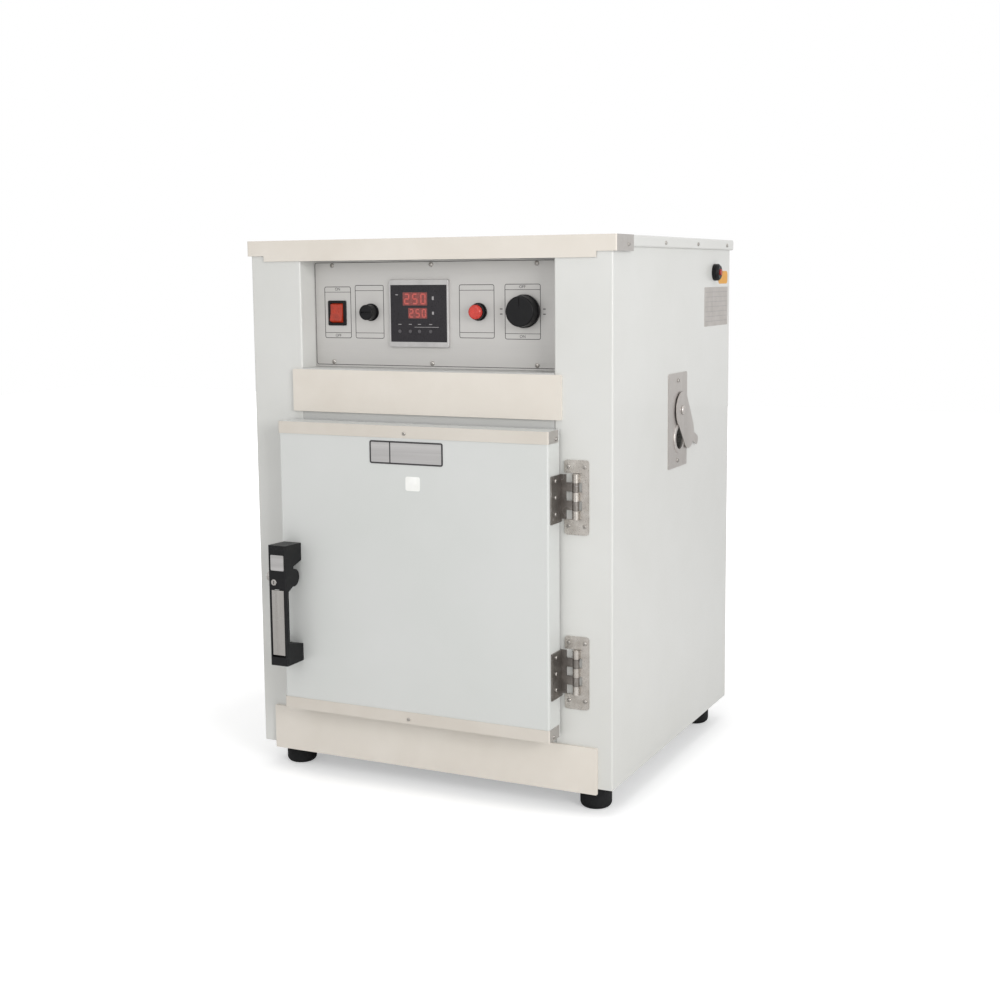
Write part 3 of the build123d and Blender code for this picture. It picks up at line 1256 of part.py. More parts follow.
with BuildPart() as hinge_frame_leaves:
    leaf_face = FRONT - LEAF_SHEET
    for bottom in HINGE_BOTTOMS:
        low = BASE + bottom - FRAME_LEAF_BELOW
        high = low + FRAME_LEAF_HEIGHT
        notch_low = BASE + bottom - KNUCKLE_GAP
        notch_high = BASE + bottom + KNUCKLES * KNUCKLE_HEIGHT + KNUCKLE_GAP
        with BuildSketch(front_plane(FRONT)) as leaf_outline:
            with Locations((LEFT + (FRAME_LEAF_LEFT + FRAME_LEAF_RIGHT) / 2, (low + high) / 2)):
                RectangleRounded(FRAME_LEAF_RIGHT - FRAME_LEAF_LEFT, high - low, 4)
            with Locations((LEFT + (FRAME_LEAF_LEFT + NOTCH_RIGHT) / 2 - 5, (notch_low + notch_high) / 2)):
                Rectangle(NOTCH_RIGHT - FRAME_LEAF_LEFT + 10, notch_high - notch_low, mode=Mode.SUBTRACT)
        extrude(amount=LEAF_SHEET)
        for index in range(0, KNUCKLES, 2):
            z = knuckle_span(bottom, index)
            rod((HINGE_AXIS_X, HINGE_AXIS_Y, z[0]), (0, 0, 1), KNUCKLE_RADIUS, z[1] - z[0])
            block((HINGE_AXIS_X, LEFT + NOTCH_RIGHT + 0.5), (leaf_face - FIT, FRONT - FIT), z)
    for bottom in HINGE_BOTTOMS:
        rod(
            (HINGE_AXIS_X, HINGE_AXIS_Y, BASE + bottom - 1),
            (0, 0, 1),
            HINGE_PIN_RADIUS + RUNNING_FIT,
            KNUCKLES * KNUCKLE_HEIGHT + 2,
            Mode.SUBTRACT,
        )
    for x, z in HINGE_SCREWS:
        screw_hole((x, leaf_face, z), (0, 1, 0), LEAF_SHEET + 1)
finish("hinge_frame_leaves", hinge_frame_leaves)

DOOR_LEAF_FACE = DOOR_EDGE_RIGHT + LEAF_SHEET
DOOR_LEAF_SCREW_ZS = (9.0, 31.5, 54.0)
with BuildPart() as hinge_door_leaves:
    for bottom in HINGE_BOTTOMS:
        low = BASE + bottom - 4
        high = BASE + bottom + KNUCKLES * KNUCKLE_HEIGHT - 2
        block((DOOR_EDGE_RIGHT, DOOR_LEAF_FACE), (FRONT - DOOR_LEAF_DEPTH, FRONT - FIT), (low, high))
        strap_low = BASE + bottom + KNUCKLE_GAP / 2
        strap_high = BASE + bottom + KNUCKLES * KNUCKLE_HEIGHT - 2
        block(
            (DOOR_EDGE_RIGHT, LEFT + 503.0),
            (FRONT - FIT - LEAF_SHEET, FRONT - FIT),
            (strap_low, strap_high),
        )
        for index in range(1, KNUCKLES, 2):
            z = knuckle_span(bottom, index)
            rod((HINGE_AXIS_X, HINGE_AXIS_Y, z[0]), (0, 0, 1), KNUCKLE_RADIUS, z[1] - z[0])
            block((LEFT + 502.0, HINGE_AXIS_X), (FRONT - FIT - LEAF_SHEET, FRONT - FIT), z)
    for bottom in HINGE_BOTTOMS:
        rod(
            (HINGE_AXIS_X, HINGE_AXIS_Y, BASE + bottom - 1),
            (0, 0, 1),
            HINGE_PIN_RADIUS + RUNNING_FIT,
            KNUCKLES * KNUCKLE_HEIGHT + 2,
            Mode.SUBTRACT,
        )
        for z in DOOR_LEAF_SCREW_ZS:
            screw_hole((DOOR_LEAF_FACE, FRONT - 22, BASE + bottom + z), (-1, 0, 0), LEAF_SHEET + 1)
finish("hinge_door_leaves", hinge_door_leaves)

with BuildPart() as hinge_pins:
    for bottom in HINGE_BOTTOMS:
        pin_foot = (HINGE_AXIS_X, HINGE_AXIS_Y, BASE + bottom)
        rod(pin_foot, (0, 0, 1), HINGE_PIN_RADIUS, KNUCKLES * KNUCKLE_HEIGHT)
finish("hinge_pins", hinge_pins)

# Latch: case with a lever paddle, a lock and a claw arm beside the door's edge
latch_left = LEFT + LATCH_LEFT
latch_right = latch_left + LATCH_WIDTH


def at_y(y):
    """A place along Y, given from the cabinet's front."""
    return FRONT + y


def at_z(z):
    """A place along Z, given from the cabinet's lower edge."""
    return BASE + z


pivot = (at_y(PIVOT_Y), at_z(PIVOT_Z))
GRIP_BACK = -75.5
with BuildPart() as latch_body:
    with BuildSketch(Plane.YZ.offset(latch_left)) as latch_side:
        with BuildLine():
            Polyline(
                (at_y(-61.7), at_z(284.0)),
                (at_y(-61.7), at_z(288.0)),
                (DOOR_FACE, at_z(294.0)),
                (DOOR_FACE, at_z(LATCH_TOP - 1.5)),
                (at_y(-LATCH_FRONT), at_z(LATCH_TOP)),
                (at_y(-LATCH_FRONT), at_z(LATCH_BOTTOM)),
                (DOOR_FACE, at_z(LATCH_BOTTOM)),
                (DOOR_FACE, at_z(170.0)),
                (at_y(GRIP_BACK), at_z(178.0)),
                (at_y(GRIP_BACK), at_z(253.0)),
                (at_y(-64.0), at_z(259.0)),
            )
            ThreePointArc((at_y(-64.0), at_z(259.0)), (at_y(-47.5), at_z(270.0)), (at_y(-61.7), at_z(284.0)))
        make_face()
    extrude(amount=LATCH_WIDTH)
    fillet(latch_body.edges().filter_by(Axis.Z).group_by(Axis.Y)[0], 2.0)
    block(
        (latch_left + 3.4, latch_right - 3.0),
        (at_y(-LATCH_FRONT - 1), at_y(-60)),
        (at_z(PADDLE_BOTTOM - 3.0), at_z(PADDLE_TOP + 1.5)),
        Mode.SUBTRACT,
    )
    block(
        (LEFT + 85.5, LEFT + PADDLE_RIGHT + 0.8),
        (at_y(-79.8), at_y(-53.5)),
        (at_z(250), at_z(279)),
        Mode.SUBTRACT,
    )
    pivot_hole = LEFT + PADDLE_RIGHT - latch_left + 1
    rod((latch_left - 1, *pivot), (1, 0, 0), PIVOT_RADIUS + RUNNING_FIT, pivot_hole, Mode.SUBTRACT)
    rod((LEFT + LOCK_X, at_y(-85), at_z(LOCK_Z)), (0, 1, 0), LOCK_RADIUS + FIT, 15.5, Mode.SUBTRACT)
finish("latch_body", latch_body)

with BuildPart() as lock_cylinder:
    rod((LEFT + LOCK_X, at_y(-LATCH_FRONT - LOCK_PROUD), at_z(LOCK_Z)), (0, 1, 0), LOCK_RADIUS, 13.0)
    fillet(lock_cylinder.faces().sort_by(Axis.Y)[0].edges(), 0.6)
    block(
        (LEFT + LOCK_X - 0.5, LEFT + LOCK_X + 0.5),
        (at_y(-LATCH_FRONT - 2), at_y(-LATCH_FRONT + 3)),
        (at_z(LOCK_Z - 2.5), at_z(LOCK_Z + 2.5)),
        Mode.SUBTRACT,
    )
finish("lock_cylinder", lock_cylinder)

with BuildPart() as latch_lever:
    block(
        (LEFT + PADDLE_LEFT, LEFT + PADDLE_RIGHT),
        (at_y(-LATCH_FRONT + 0.5), at_y(-LATCH_FRONT + 0.5 + PADDLE_SHEET)),
        (at_z(PADDLE_BOTTOM), at_z(PADDLE_TOP)),
    )
    with BuildSketch(Plane.YZ.offset(LEFT + 86.0)) as web:
        with BuildLine():
            Polyline(
                (at_y(-81.0), at_z(240.0)),
                (at_y(-79.0), at_z(254.0)),
                (pivot[0] - HUB_RADIUS + 1, pivot[1] + 2),
                (pivot[0] + 2, pivot[1] - HUB_RADIUS + 1),
                (at_y(-80.0), at_z(240.0)),
                (at_y(-81.0), at_z(240.0)),
            )
        make_face()
    extrude(amount=PADDLE_RIGHT - 86.0)
    rod((LEFT + 86.0, *pivot), (1, 0, 0), HUB_RADIUS, PADDLE_RIGHT - 86.0)
    rod((LEFT + ARM_LEFT, *pivot), (1, 0, 0), PIVOT_RADIUS, 90.0 - ARM_LEFT)
    bar_top = at_z(KEEPER_Z) + KEEPER_RADIUS + STORED_GAP
    with BuildSketch(Plane.YZ.offset(LEFT + ARM_LEFT)) as arm:
        with BuildLine():
            Polyline(
                (pivot[0], pivot[1] - 5.0),
                (at_y(KEEPER_Y + KEEPER_RADIUS + 1), pivot[1] - 3.5),
                (at_y(KEEPER_Y + KEEPER_RADIUS + 2), bar_top),
                (at_y(ARM_REACH_Y - 3), bar_top),
                (at_y(ARM_REACH_Y), pivot[1] - 3.0),
                (at_y(ARM_REACH_Y - 3), pivot[1] + 4.0),
                (pivot[0], pivot[1] + 6.0),
                (pivot[0], pivot[1] - 5.0),
            )
        make_face()
        with Locations(pivot):
            Circle(7.0)
    extrude(amount=ARM_WIDTH)
finish("latch_lever", latch_lever)

with BuildPart() as latch_keeper:
    block((LEFT + 34, LEFT + 55), (at_y(-2.5), at_y(0)), (at_z(240), at_z(292)))
    block((LEFT + 51, LEFT + 55), (at_y(-26), at_y(0)), (at_z(250), at_z(274)))
    fillet(latch_keeper.edges().filter_by(Axis.X).group_by(Axis.Y)[0], 5)
    rod((LEFT + 51, at_y(KEEPER_Y), at_z(KEEPER_Z)), (1, 0, 0), KEEPER_RADIUS, 15.4)
    for z in (245.5, 286.5):
        rod((LEFT + 43, at_y(-2.5), at_z(z)), (0, -1, 0), 2.9, 1.6)
finish("latch_keeper", latch_keeper)

# Screws of the door
with BuildPart() as door_screws:
    for bottom in HINGE_BOTTOMS:
        for z in DOOR_LEAF_SCREW_ZS:
            screw((DOOR_LEAF_FACE, FRONT - 22, BASE + bottom + z), (-1, 0, 0), length=LEAF_SHEET, head=2.8)
    for bottom in DOOR_TRIM_BOTTOMS:
        for seat, direction in door_trim_screws(bottom):
            screw(seat, direction, length=DOOR_TRIM_SHEET, head=2.6)
finish("door_screws", door_screws)
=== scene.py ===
"""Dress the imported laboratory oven: finishes, printed marks, plates, screws, camera and light."""

import json
import logging
import math
from collections.abc import Sequence
from dataclasses import dataclass
from enum import Enum

import bmesh
import bpy
from mathutils import Matrix, Vector


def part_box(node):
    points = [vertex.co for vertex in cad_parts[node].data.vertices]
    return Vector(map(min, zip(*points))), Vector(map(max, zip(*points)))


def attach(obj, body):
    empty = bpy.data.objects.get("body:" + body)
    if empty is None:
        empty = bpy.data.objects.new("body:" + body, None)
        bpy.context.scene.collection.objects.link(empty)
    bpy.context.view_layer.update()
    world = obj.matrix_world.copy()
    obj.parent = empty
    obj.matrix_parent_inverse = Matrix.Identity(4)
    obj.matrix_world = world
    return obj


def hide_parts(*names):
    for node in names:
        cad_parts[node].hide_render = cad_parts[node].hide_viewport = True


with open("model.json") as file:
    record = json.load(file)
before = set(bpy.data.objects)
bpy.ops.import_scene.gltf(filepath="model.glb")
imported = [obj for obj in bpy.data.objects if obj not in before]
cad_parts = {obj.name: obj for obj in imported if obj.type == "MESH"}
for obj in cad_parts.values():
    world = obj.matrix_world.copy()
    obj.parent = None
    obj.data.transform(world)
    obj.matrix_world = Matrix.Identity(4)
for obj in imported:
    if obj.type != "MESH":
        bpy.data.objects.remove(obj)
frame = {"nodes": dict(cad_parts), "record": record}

LOG = logging.getLogger("oven")
MM = 0.001
Colour = tuple[float, float, float]

# The cabinet's front left lower corner, from which the places on it are measured
CORNER = Vector(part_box("left_side_panel")[0])


def place(x: float, y: float, z: float) -> Vector:
    """A point of the frame, from its distances to the cabinet's corner.

    Args:
        x: Millimetres to the right of the cabinet's left side.
        y: Millimetres behind the cabinet's front.
        z: Millimetres above the cabinet's lower edge.

    Returns:
        The point in metres.
    """
    return CORNER + Vector((x, y, z)) * MM


def linear(code: str) -> Colour:
    """The linear colour of a hexadecimal sRGB code."""
    channels = [int(code[i : i + 2], 16) / 255 for i in (0, 2, 4)]
    return tuple(c / 12.92 if c <= 0.04045 else ((c + 0.055) / 1.055) ** 2.4 for c in channels)


class Facing(Enum):
    """The side of the oven that a flat piece lies on, as its across, up and outward directions."""

    FRONT = ((1, 0, 0), (0, 0, 1), (0, -1, 0))
    RIGHT = ((0, 1, 0), (0, 0, 1), (1, 0, 0))

    def matrix(self, origin: Vector) -> Matrix:
        """The transform from a flat piece's own axes to its place.

        Args:
            origin: The point where the piece's centre lies on the surface.

        Returns:
            A four by four matrix.
        """
        turn = Matrix(self.value).transposed().to_4x4()
        return Matrix.Translation(origin) @ turn


class Axis(Enum):
    """The direction of a grain, as the scale of its pattern along X, Y and Z."""

    X = (0.02, 1.0, 1.0)
    Z = (1.0, 1.0, 0.02)


# Shader node groups

# The span in which nearly all values of a noise texture lie, and the upper part that makes flecks
NOISE_SPAN = (0.3, 0.7)
FLECK_SPAN = (0.62, 0.72)
SHARE = (0.0, 1.0)
# The scale of the cells whose edges are the scratches, how far they wander and how wide they are
SCRATCH_CELLS = 34.0
SCRATCH_WARP = 0.02
SCRATCH_WIDTH = 0.012


def new_group(name: str, inputs: dict[str, float], outputs: Sequence[str]) -> bpy.types.NodeTree:
    """Start a shader node group with a vector input and named value sockets.

    Args:
        name: The group's name.
        inputs: The value inputs and their defaults.
        outputs: The names of the value outputs.

    Returns:
        The group, with its input and output nodes placed.
    """
    group = bpy.data.node_groups.new(name, "ShaderNodeTree")
    group.interface.new_socket("Vector", in_out="INPUT", socket_type="NodeSocketVector")
    for label, value in inputs.items():
        socket = group.interface.new_socket(label, in_out="INPUT", socket_type="NodeSocketFloat")
        socket.default_value = value
    for label in outputs:
        group.interface.new_socket(label, in_out="OUTPUT", socket_type="NodeSocketFloat")
    group.nodes.new("NodeGroupInput").name = "In"
    group.nodes.new("NodeGroupOutput").name = "Out"
    return group


def noise_in(group: bpy.types.NodeTree, scale: str, detail: float, roughness: float) -> bpy.types.Node:
    """A noise texture inside a group that reads the group's vector and one of its scales.

    Args:
        group: The node group.
        scale: The name of the input that gives the noise's scale.
        detail: How many finer layers the noise has.
        roughness: How strong the finer layers are.

    Returns:
        The texture node.
    """
    texture = group.nodes.new("ShaderNodeTexNoise")
    texture.inputs["Detail"].default_value = detail
    texture.inputs["Roughness"].default_value = roughness
    source = group.nodes["In"]
    group.links.new(source.outputs["Vector"], texture.inputs["Vector"])
    group.links.new(source.outputs[scale], texture.inputs["Scale"])
    return texture


def mapped(
    group: bpy.types.NodeTree,
    value: bpy.types.NodeSocket,
    source: tuple[float, float],
    target: tuple[float, float],
) -> bpy.types.NodeSocket:
    """Map a value from one range to another inside a node tree.

    Args:
        group: The node tree.
        value: The socket that gives the value.
        source: The range that is read.
        target: The range that is put out.

    Returns:
        The result socket.
    """
    node = group.nodes.new("ShaderNodeMapRange")
    for label, number in zip(("From Min", "From Max", "To Min", "To Max"), (*source, *target)):
        node.inputs[label].default_value = number
    group.links.new(value, node.inputs["Value"])
    return node.outputs["Result"]


def surface_group() -> bpy.types.NodeTree:
    """The fine relief and the slow mottling that nearly every finish has."""
    group = new_group("Surface", {"Fine": 700.0, "Slow": 5.0}, ("Height", "Mottle", "Fleck"))
    fine = noise_in(group, "Fine", 2.0, 0.5)
    slow = noise_in(group, "Slow", 3.0, 0.6)
    target = group.nodes["Out"]
    group.links.new(fine.outputs["Fac"], target.inputs["Height"])
    group.links.new(mapped(group, slow.outputs["Fac"], NOISE_SPAN, SHARE), target.inputs["Mottle"])
    group.links.new(mapped(group, fine.outputs["Fac"], FLECK_SPAN, SHARE), target.inputs["Fleck"])
    return group


def scratch_group() -> bpy.types.NodeTree:
    """Thin random scratches, as a mask."""
    group = new_group("Scratches", {"Scale": 60.0}, ("Mask",))
    warp = noise_in(group, "Scale", 1.0, 0.5)
    cells = group.nodes.new("ShaderNodeTexVoronoi")
    cells.feature = "DISTANCE_TO_EDGE"
    cells.inputs["Scale"].default_value = SCRATCH_CELLS
    mix = group.nodes.new("ShaderNodeVectorMath")
    mix.operation = "MULTIPLY_ADD"
    mix.inputs[1].default_value = (SCRATCH_WARP,) * 3
    group.links.new(warp.outputs["Color"], mix.inputs[0])
    group.links.new(group.nodes["In"].outputs["Vector"], mix.inputs[2])
    group.links.new(mix.outputs["Vector"], cells.inputs["Vector"])
    mask = mapped(group, cells.outputs["Distance"], (0.0, SCRATCH_WIDTH), (1.0, 0.0))
    group.links.new(mask, group.nodes["Out"].inputs["Mask"])
    return group


def soil_group() -> bpy.types.NodeTree:
    """A faint soiling that grows towards the floor."""
    group = new_group("Soil", {"Top": 0.2, "Patches": 9.0}, ("Mask",))
    patches = noise_in(group, "Patches", 4.0, 0.6)
    source = group.nodes["In"]
    split = group.nodes.new("ShaderNodeSeparateXYZ")
    group.links.new(source.outputs["Vector"], split.inputs["Vector"])
    height = group.nodes.new("ShaderNodeMath")
    height.operation = "DIVIDE"
    group.links.new(split.outputs["Z"], height.inputs[0])
    group.links.new(source.outputs["Top"], height.inputs[1])
    fade = mapped(group, height.outputs["Value"], SHARE, (1.0, 0.0))
    product = group.nodes.new("ShaderNodeMath")
    product.operation = "MULTIPLY"
    group.links.new(fade, product.inputs[0])
    group.links.new(patches.outputs["Fac"], product.inputs[1])
    group.links.new(product.outputs["Value"], group.nodes["Out"].inputs["Mask"])
    return group


GROUPS = {"Surface": surface_group(), "Scratches": scratch_group(), "Soil": soil_group()}


@dataclass(frozen=True)
class Finish:
    """A finish with fine relief and slow mottling, and the base of the other finishes."""

    name: str
    colour: Colour
    second: Colour
    roughness: tuple[float, float] = (0.35, 0.45)
    metallic: float = 0.0
    fine: float = 700.0
    slow: float = 5.0
    relief: float = 0.00002
    stretch: Colour = (1.0, 1.0, 1.0)
    coat: float = 0.0
    specular: float = 0.5

    def material(self) -> bpy.types.Material:
        """Build the finish as a new material.

        Returns:
            The material, whose main shader is a Principled BSDF.
        """
        material = bpy.data.materials.new(self.name)
        material.use_nodes = True
        tree = material.node_tree
        shader = tree.nodes["Principled BSDF"]
        shader.inputs["Metallic"].default_value = self.metallic
        shader.inputs["Coat Weight"].default_value = self.coat
        shader.inputs["Specular IOR Level"].default_value = self.specular
        coordinates = tree.nodes.new("ShaderNodeTexCoord")
        mapping = tree.nodes.new("ShaderNodeMapping")
        mapping.inputs["Scale"].default_value = self.stretch
        tree.links.new(coordinates.outputs["Object"], mapping.inputs["Vector"])
        surface = self.add_group(tree, "Surface", mapping.outputs["Vector"])
        surface.inputs["Fine"].default_value = self.fine
        surface.inputs["Slow"].default_value = self.slow
        colour = self.blend_colours(tree, surface.outputs["Mottle"], self.colour, self.second)
        rough = mapped(tree, surface.outputs["Height"], NOISE_SPAN, self.roughness)
        tree.links.new(rough, shader.inputs["Roughness"])
        bump = tree.nodes.new("ShaderNodeBump")
        bump.inputs["Distance"].default_value = self.relief
        tree.links.new(surface.outputs["Height"], bump.inputs["Height"])
        tree.links.new(bump.outputs["Normal"], shader.inputs["Normal"])
        colour = self.overlay(tree, coordinates.outputs["Object"], colour)
        tree.links.new(colour, shader.inputs["Base Color"])
        return material

    def overlay(
        self, tree: bpy.types.NodeTree, vector: bpy.types.NodeSocket, colour: bpy.types.NodeSocket
    ) -> bpy.types.NodeSocket:
        """Add what lies over the base colour.

        Args:
            tree: The material's node tree.
            vector: The object coordinates.
            colour: The base colour so far.

        Returns:
            The final colour socket.
        """
        return colour

    @staticmethod
    def add_group(
        tree: bpy.types.NodeTree, name: str, vector: bpy.types.NodeSocket
    ) -> bpy.types.ShaderNodeGroup:
        """Place a shared group in a material and feed its vector.

        Args:
            tree: The material's node tree.
            name: The group's name.
            vector: The socket that gives the place on the piece.

        Returns:
            The group node.
        """
        node = tree.nodes.new("ShaderNodeGroup")
        node.node_tree = GROUPS[name]
        tree.links.new(vector, node.inputs["Vector"])
        return node

    @staticmethod
    def blend_colours(
        tree: bpy.types.NodeTree,
        factor: bpy.types.NodeSocket,
        first: Colour | bpy.types.NodeSocket,
        second: Colour | bpy.types.NodeSocket,
    ) -> bpy.types.NodeSocket:
        """Mix two colours by a factor.

        Args:
            tree: The material's node tree.
            factor: The socket that gives the share of the second colour.
            first: The colour, or its socket, at a factor of 0.
            second: The colour, or its socket, at a factor of 1.

        Returns:
            The mixed colour socket.
        """
        mix = tree.nodes.new("ShaderNodeMix")
        mix.data_type = "RGBA"
        tree.links.new(factor, mix.inputs[0])
        for socket, colour in ((mix.inputs[6], first), (mix.inputs[7], second)):
            if isinstance(colour, bpy.types.NodeSocket):
                tree.links.new(colour, socket)
            else:
                socket.default_value = (*colour, 1.0)
        return mix.outputs[2]


@dataclass(frozen=True)
class PowderCoat(Finish):
    """Sprayed enamel with a slight orange peel, a little soiled near the floor."""

    soil: Colour = linear("BDBAB2")
    soil_share: float = 0.25

    def overlay(
        self, tree: bpy.types.NodeTree, vector: bpy.types.NodeSocket, colour: bpy.types.NodeSocket
    ) -> bpy.types.NodeSocket:
        """Add the soiling near the floor."""
        soil = self.add_group(tree, "Soil", vector)
        mask = mapped(tree, soil.outputs["Mask"], SHARE, (0.0, self.soil_share))
        return self.blend_colours(tree, mask, colour, self.soil)


@dataclass(frozen=True)
class Scuffed(Finish):
    """A finish that shows thin scratches."""

    scratch: Colour = (0.8, 0.8, 0.8)
    scratch_share: float = 0.2

    def overlay(
        self, tree: bpy.types.NodeTree, vector: bpy.types.NodeSocket, colour: bpy.types.NodeSocket
    ) -> bpy.types.NodeSocket:
        """Add the scratches."""
        scratches = self.add_group(tree, "Scratches", vector)
        mask = mapped(tree, scratches.outputs["Mask"], SHARE, (0.0, self.scratch_share))
        return self.blend_colours(tree, mask, colour, self.scratch)


@dataclass(frozen=True)
class FilmedSteel(Finish):
    """Sheet steel whose front still wears its cream film, up to a depth behind which it is bare."""

    film_depth: float = 0.0
    film_edge: float = 0.1 * MM
    bare: Colour = linear("B9B5B1")
    bare_metallic: float = 0.85

    def overlay(
        self, tree: bpy.types.NodeTree, vector: bpy.types.NodeSocket, colour: bpy.types.NodeSocket
    ) -> bpy.types.NodeSocket:
        """Leave the film only in front of its depth."""
        split = tree.nodes.new("ShaderNodeSeparateXYZ")
        tree.links.new(vector, split.inputs["Vector"])
        span = (self.film_depth - self.film_edge, self.film_depth + self.film_edge)
        edge = mapped(tree, split.outputs["Y"], span, SHARE)
        shader = tree.nodes["Principled BSDF"]
        tree.links.new(mapped(tree, edge, SHARE, (0.0, self.bare_metallic)), shader.inputs["Metallic"])
        return self.blend_colours(tree, edge, colour, self.bare)


@dataclass(frozen=True)
class Lit(Finish):
    """Translucent plastic with a light behind it."""

    glow: Colour = (1.0, 0.1, 0.05)
    strength: float = 0.4
    patches: float = 160.0
    dim_share: float = 0.55

    def overlay(
        self, tree: bpy.types.NodeTree, vector: bpy.types.NodeSocket, colour: bpy.types.NodeSocket
    ) -> bpy.types.NodeSocket:
        """Let the light show unevenly."""
        shader = tree.nodes["Principled BSDF"]
        shader.inputs["Emission Strength"].default_value = self.strength
        surface = self.add_group(tree, "Surface", vector)
        surface.inputs["Slow"].default_value = self.patches
        dim = tuple(c * self.dim_share for c in self.glow)
        glow = self.blend_colours(tree, surface.outputs["Mottle"], self.glow, dim)
        tree.links.new(glow, shader.inputs["Emission Color"])
        return colour


# The film of the trims ends just behind their front faces
FILM_BEHIND_FACE = 1.5 * MM
TRIM_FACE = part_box("top_front_trim")[0][1]
DOOR_TRIM_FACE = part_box("door_trims")[0][1]
CREAM = linear("D8D2C9")
CREAM_SHADE = linear("D1CAC0")

PAINT = PowderCoat("cabinet paint", linear("CFCFCC"), linear("CACAC6"), (0.3, 0.42), fine=420.0, coat=0.15)
# The door has the cabinet's enamel a little darker: painted shade for the front, which is lit less than the
# side
SHADED_DOOR_PAINT = PowderCoat(
    "door paint", linear("CACBC9"), linear("C6C8C5"), (0.32, 0.42), fine=420.0, coat=0.15
)
# The front frame has the cabinet's enamel darkened into painted shade, for the shaded band above the door
SHADED_FRAME_PAINT = PowderCoat("shaded frame paint", linear("BDBDBB"), linear("B4B4B1"), (0.36, 0.48), fine=420.0)
FILM = Finish("cream film", CREAM, CREAM_SHADE, (0.42, 0.6), fine=160.0, slow=9.0, relief=0.00008)
STEEL_Z = Scuffed(
    "brushed steel upright", linear("C4BFBB"), linear("B5B0AB"), (0.3, 0.48), 0.9, fine=1400.0,
    slow=14.0, stretch=Axis.Z.value,
)
CHAMBER_STEEL = Scuffed(
    "chamber steel", linear("BDBCBA"), linear("B0AFAC"), (0.24, 0.42), 0.95, fine=900.0, slow=12.0,
    stretch=Axis.X.value,
)
ZINC = Finish("zinc plate", linear("B4B6B5"), linear("9FA3A5"), (0.3, 0.5), 0.9, fine=300.0, slow=70.0)
HINGE_STEEL = Scuffed(
    "hinge steel", linear("C2BDB7"), linear("A8A29B"), (0.22, 0.42), 0.9, fine=600.0, slow=60.0
)
SCREW_STEEL = Scuffed(
    "screw steel", linear("BAB6B1"), linear("8F8B86"), (0.2, 0.4), 0.95, fine=900.0, slow=220.0
)
LEVER_STEEL = Scuffed(
    "polished lever", linear("C2BFBB"), linear("9C9894"), (0.14, 0.3), 0.95, fine=900.0, slow=40.0,
    stretch=Axis.Z.value,
)
ELEMENT = Finish(
    "heater sheath", linear("8A8178"), linear("5E5852"), (0.4, 0.6), 0.85, fine=500.0, slow=30.0
)
PANEL = Finish(
    "panel foil", linear("C2C0BD"), linear("B8B6B3"), (0.38, 0.55), 0.25, fine=1300.0, slow=16.0,
    relief=0.00001, stretch=Axis.X.value,
)
WOOL = Finish(
    "mineral wool", linear("D8CFAE"), linear("BDB28C"), (0.85, 1.0), fine=380.0, slow=60.0, relief=0.0009
)
RUBBER = Finish(
    "black rubber", linear("121213"), linear("1E1E1F"), (0.62, 0.85), fine=900.0, slow=60.0,
    relief=0.00006, specular=0.2,
)
SILICONE = Finish("red silicone", linear("A14233"), linear("8E382C"), (0.45, 0.62), fine=500.0, slow=20.0)
BLACK_PLASTIC = Finish(
    "moulded black plastic", linear("080809"), linear("0E0E10"), (0.3, 0.48), fine=1600.0,
    slow=80.0, relief=0.00003, specular=0.22,
)
LATCH_BLACK = Scuffed(
    "black lacquer", linear("070709"), linear("0E0E10"), (0.34, 0.52), fine=1100.0, slow=60.0,
    relief=0.00004, specular=0.25, scratch=linear("4A4A4C"), scratch_share=0.15,
)
CONTROLLER_BLACK = Finish(
    "controller window", linear("1F1C20"), linear("252226"), (0.24, 0.36), fine=1200.0, slow=60.0,
    specular=0.3,
)
CONTROLLER_SILVER = Finish(
    "controller rim", linear("BBB9B8"), linear("ADABAA"), (0.3, 0.5), 0.4, fine=1500.0, slow=60.0
)
KEY_GREY = Finish("key rubber", linear("4A474A"), linear("565356"), (0.5, 0.7), fine=1500.0, slow=300.0)
ROCKER_RED = Lit(
    "lit rocker", linear("7A1F12"), linear("5E160D"), (0.25, 0.4), fine=900.0, slow=140.0,
    glow=linear("D8431C"),
)
LAMP_RED = Lit(
    "lamp lens", linear("A8332A"), linear("8C241D"), (0.16, 0.3), fine=900.0, slow=140.0,
    glow=linear("D5382C"),
)
BUTTON_RED = Finish("reset button", linear("A82A22"), linear("8E211B"), (0.3, 0.45), fine=900.0, slow=150.0)
TERMINAL_WHITE = Finish(
    "terminal plastic", linear("DAD9D2"), linear("CBC9C0"), (0.4, 0.6), fine=900.0, slow=80.0
)
INK = Finish("print ink", linear("3A3839"), linear("4C4A4A"), (0.45, 0.65), fine=2000.0, slow=120.0)
GREY_INK = Finish("grey print", linear("8A8788"), linear("9A9798"), (0.45, 0.65), fine=2000.0, slow=120.0)
PLATE_INK = Finish("plate border", linear("2A282A"), linear("373537"), (0.3, 0.5), fine=1500.0, slow=120.0)
PLATE_SILVER = Finish(
    "plate foil", linear("B9B7B6"), linear("9E9C9B"), (0.3, 0.5), 0.3, fine=1300.0, slow=90.0,
    stretch=Axis.X.value,
)
PAPER = Finish("white sticker", linear("EFEFEC"), linear("E4E4E0"), (0.5, 0.7), fine=900.0, slow=60.0)
LABEL = Finish("rating label", linear("B5B0AC"), linear("AAA5A0"), (0.4, 0.6), 0.2, fine=900.0, slow=50.0)
ORANGE = Finish("orange sticker", linear("DBA043"), linear("CF9438"), (0.45, 0.6), fine=900.0, slow=60.0)
DISPLAY_DARK = Finish(
    "display window", linear("7A3936"), linear("84403C"), (0.2, 0.35), fine=900.0, slow=160.0
)
DIGIT_RED = Lit(
    "lit digits", linear("96453F"), linear("A3514A"), (0.3, 0.4), fine=900.0, slow=160.0,
    glow=linear("C24338"),
)
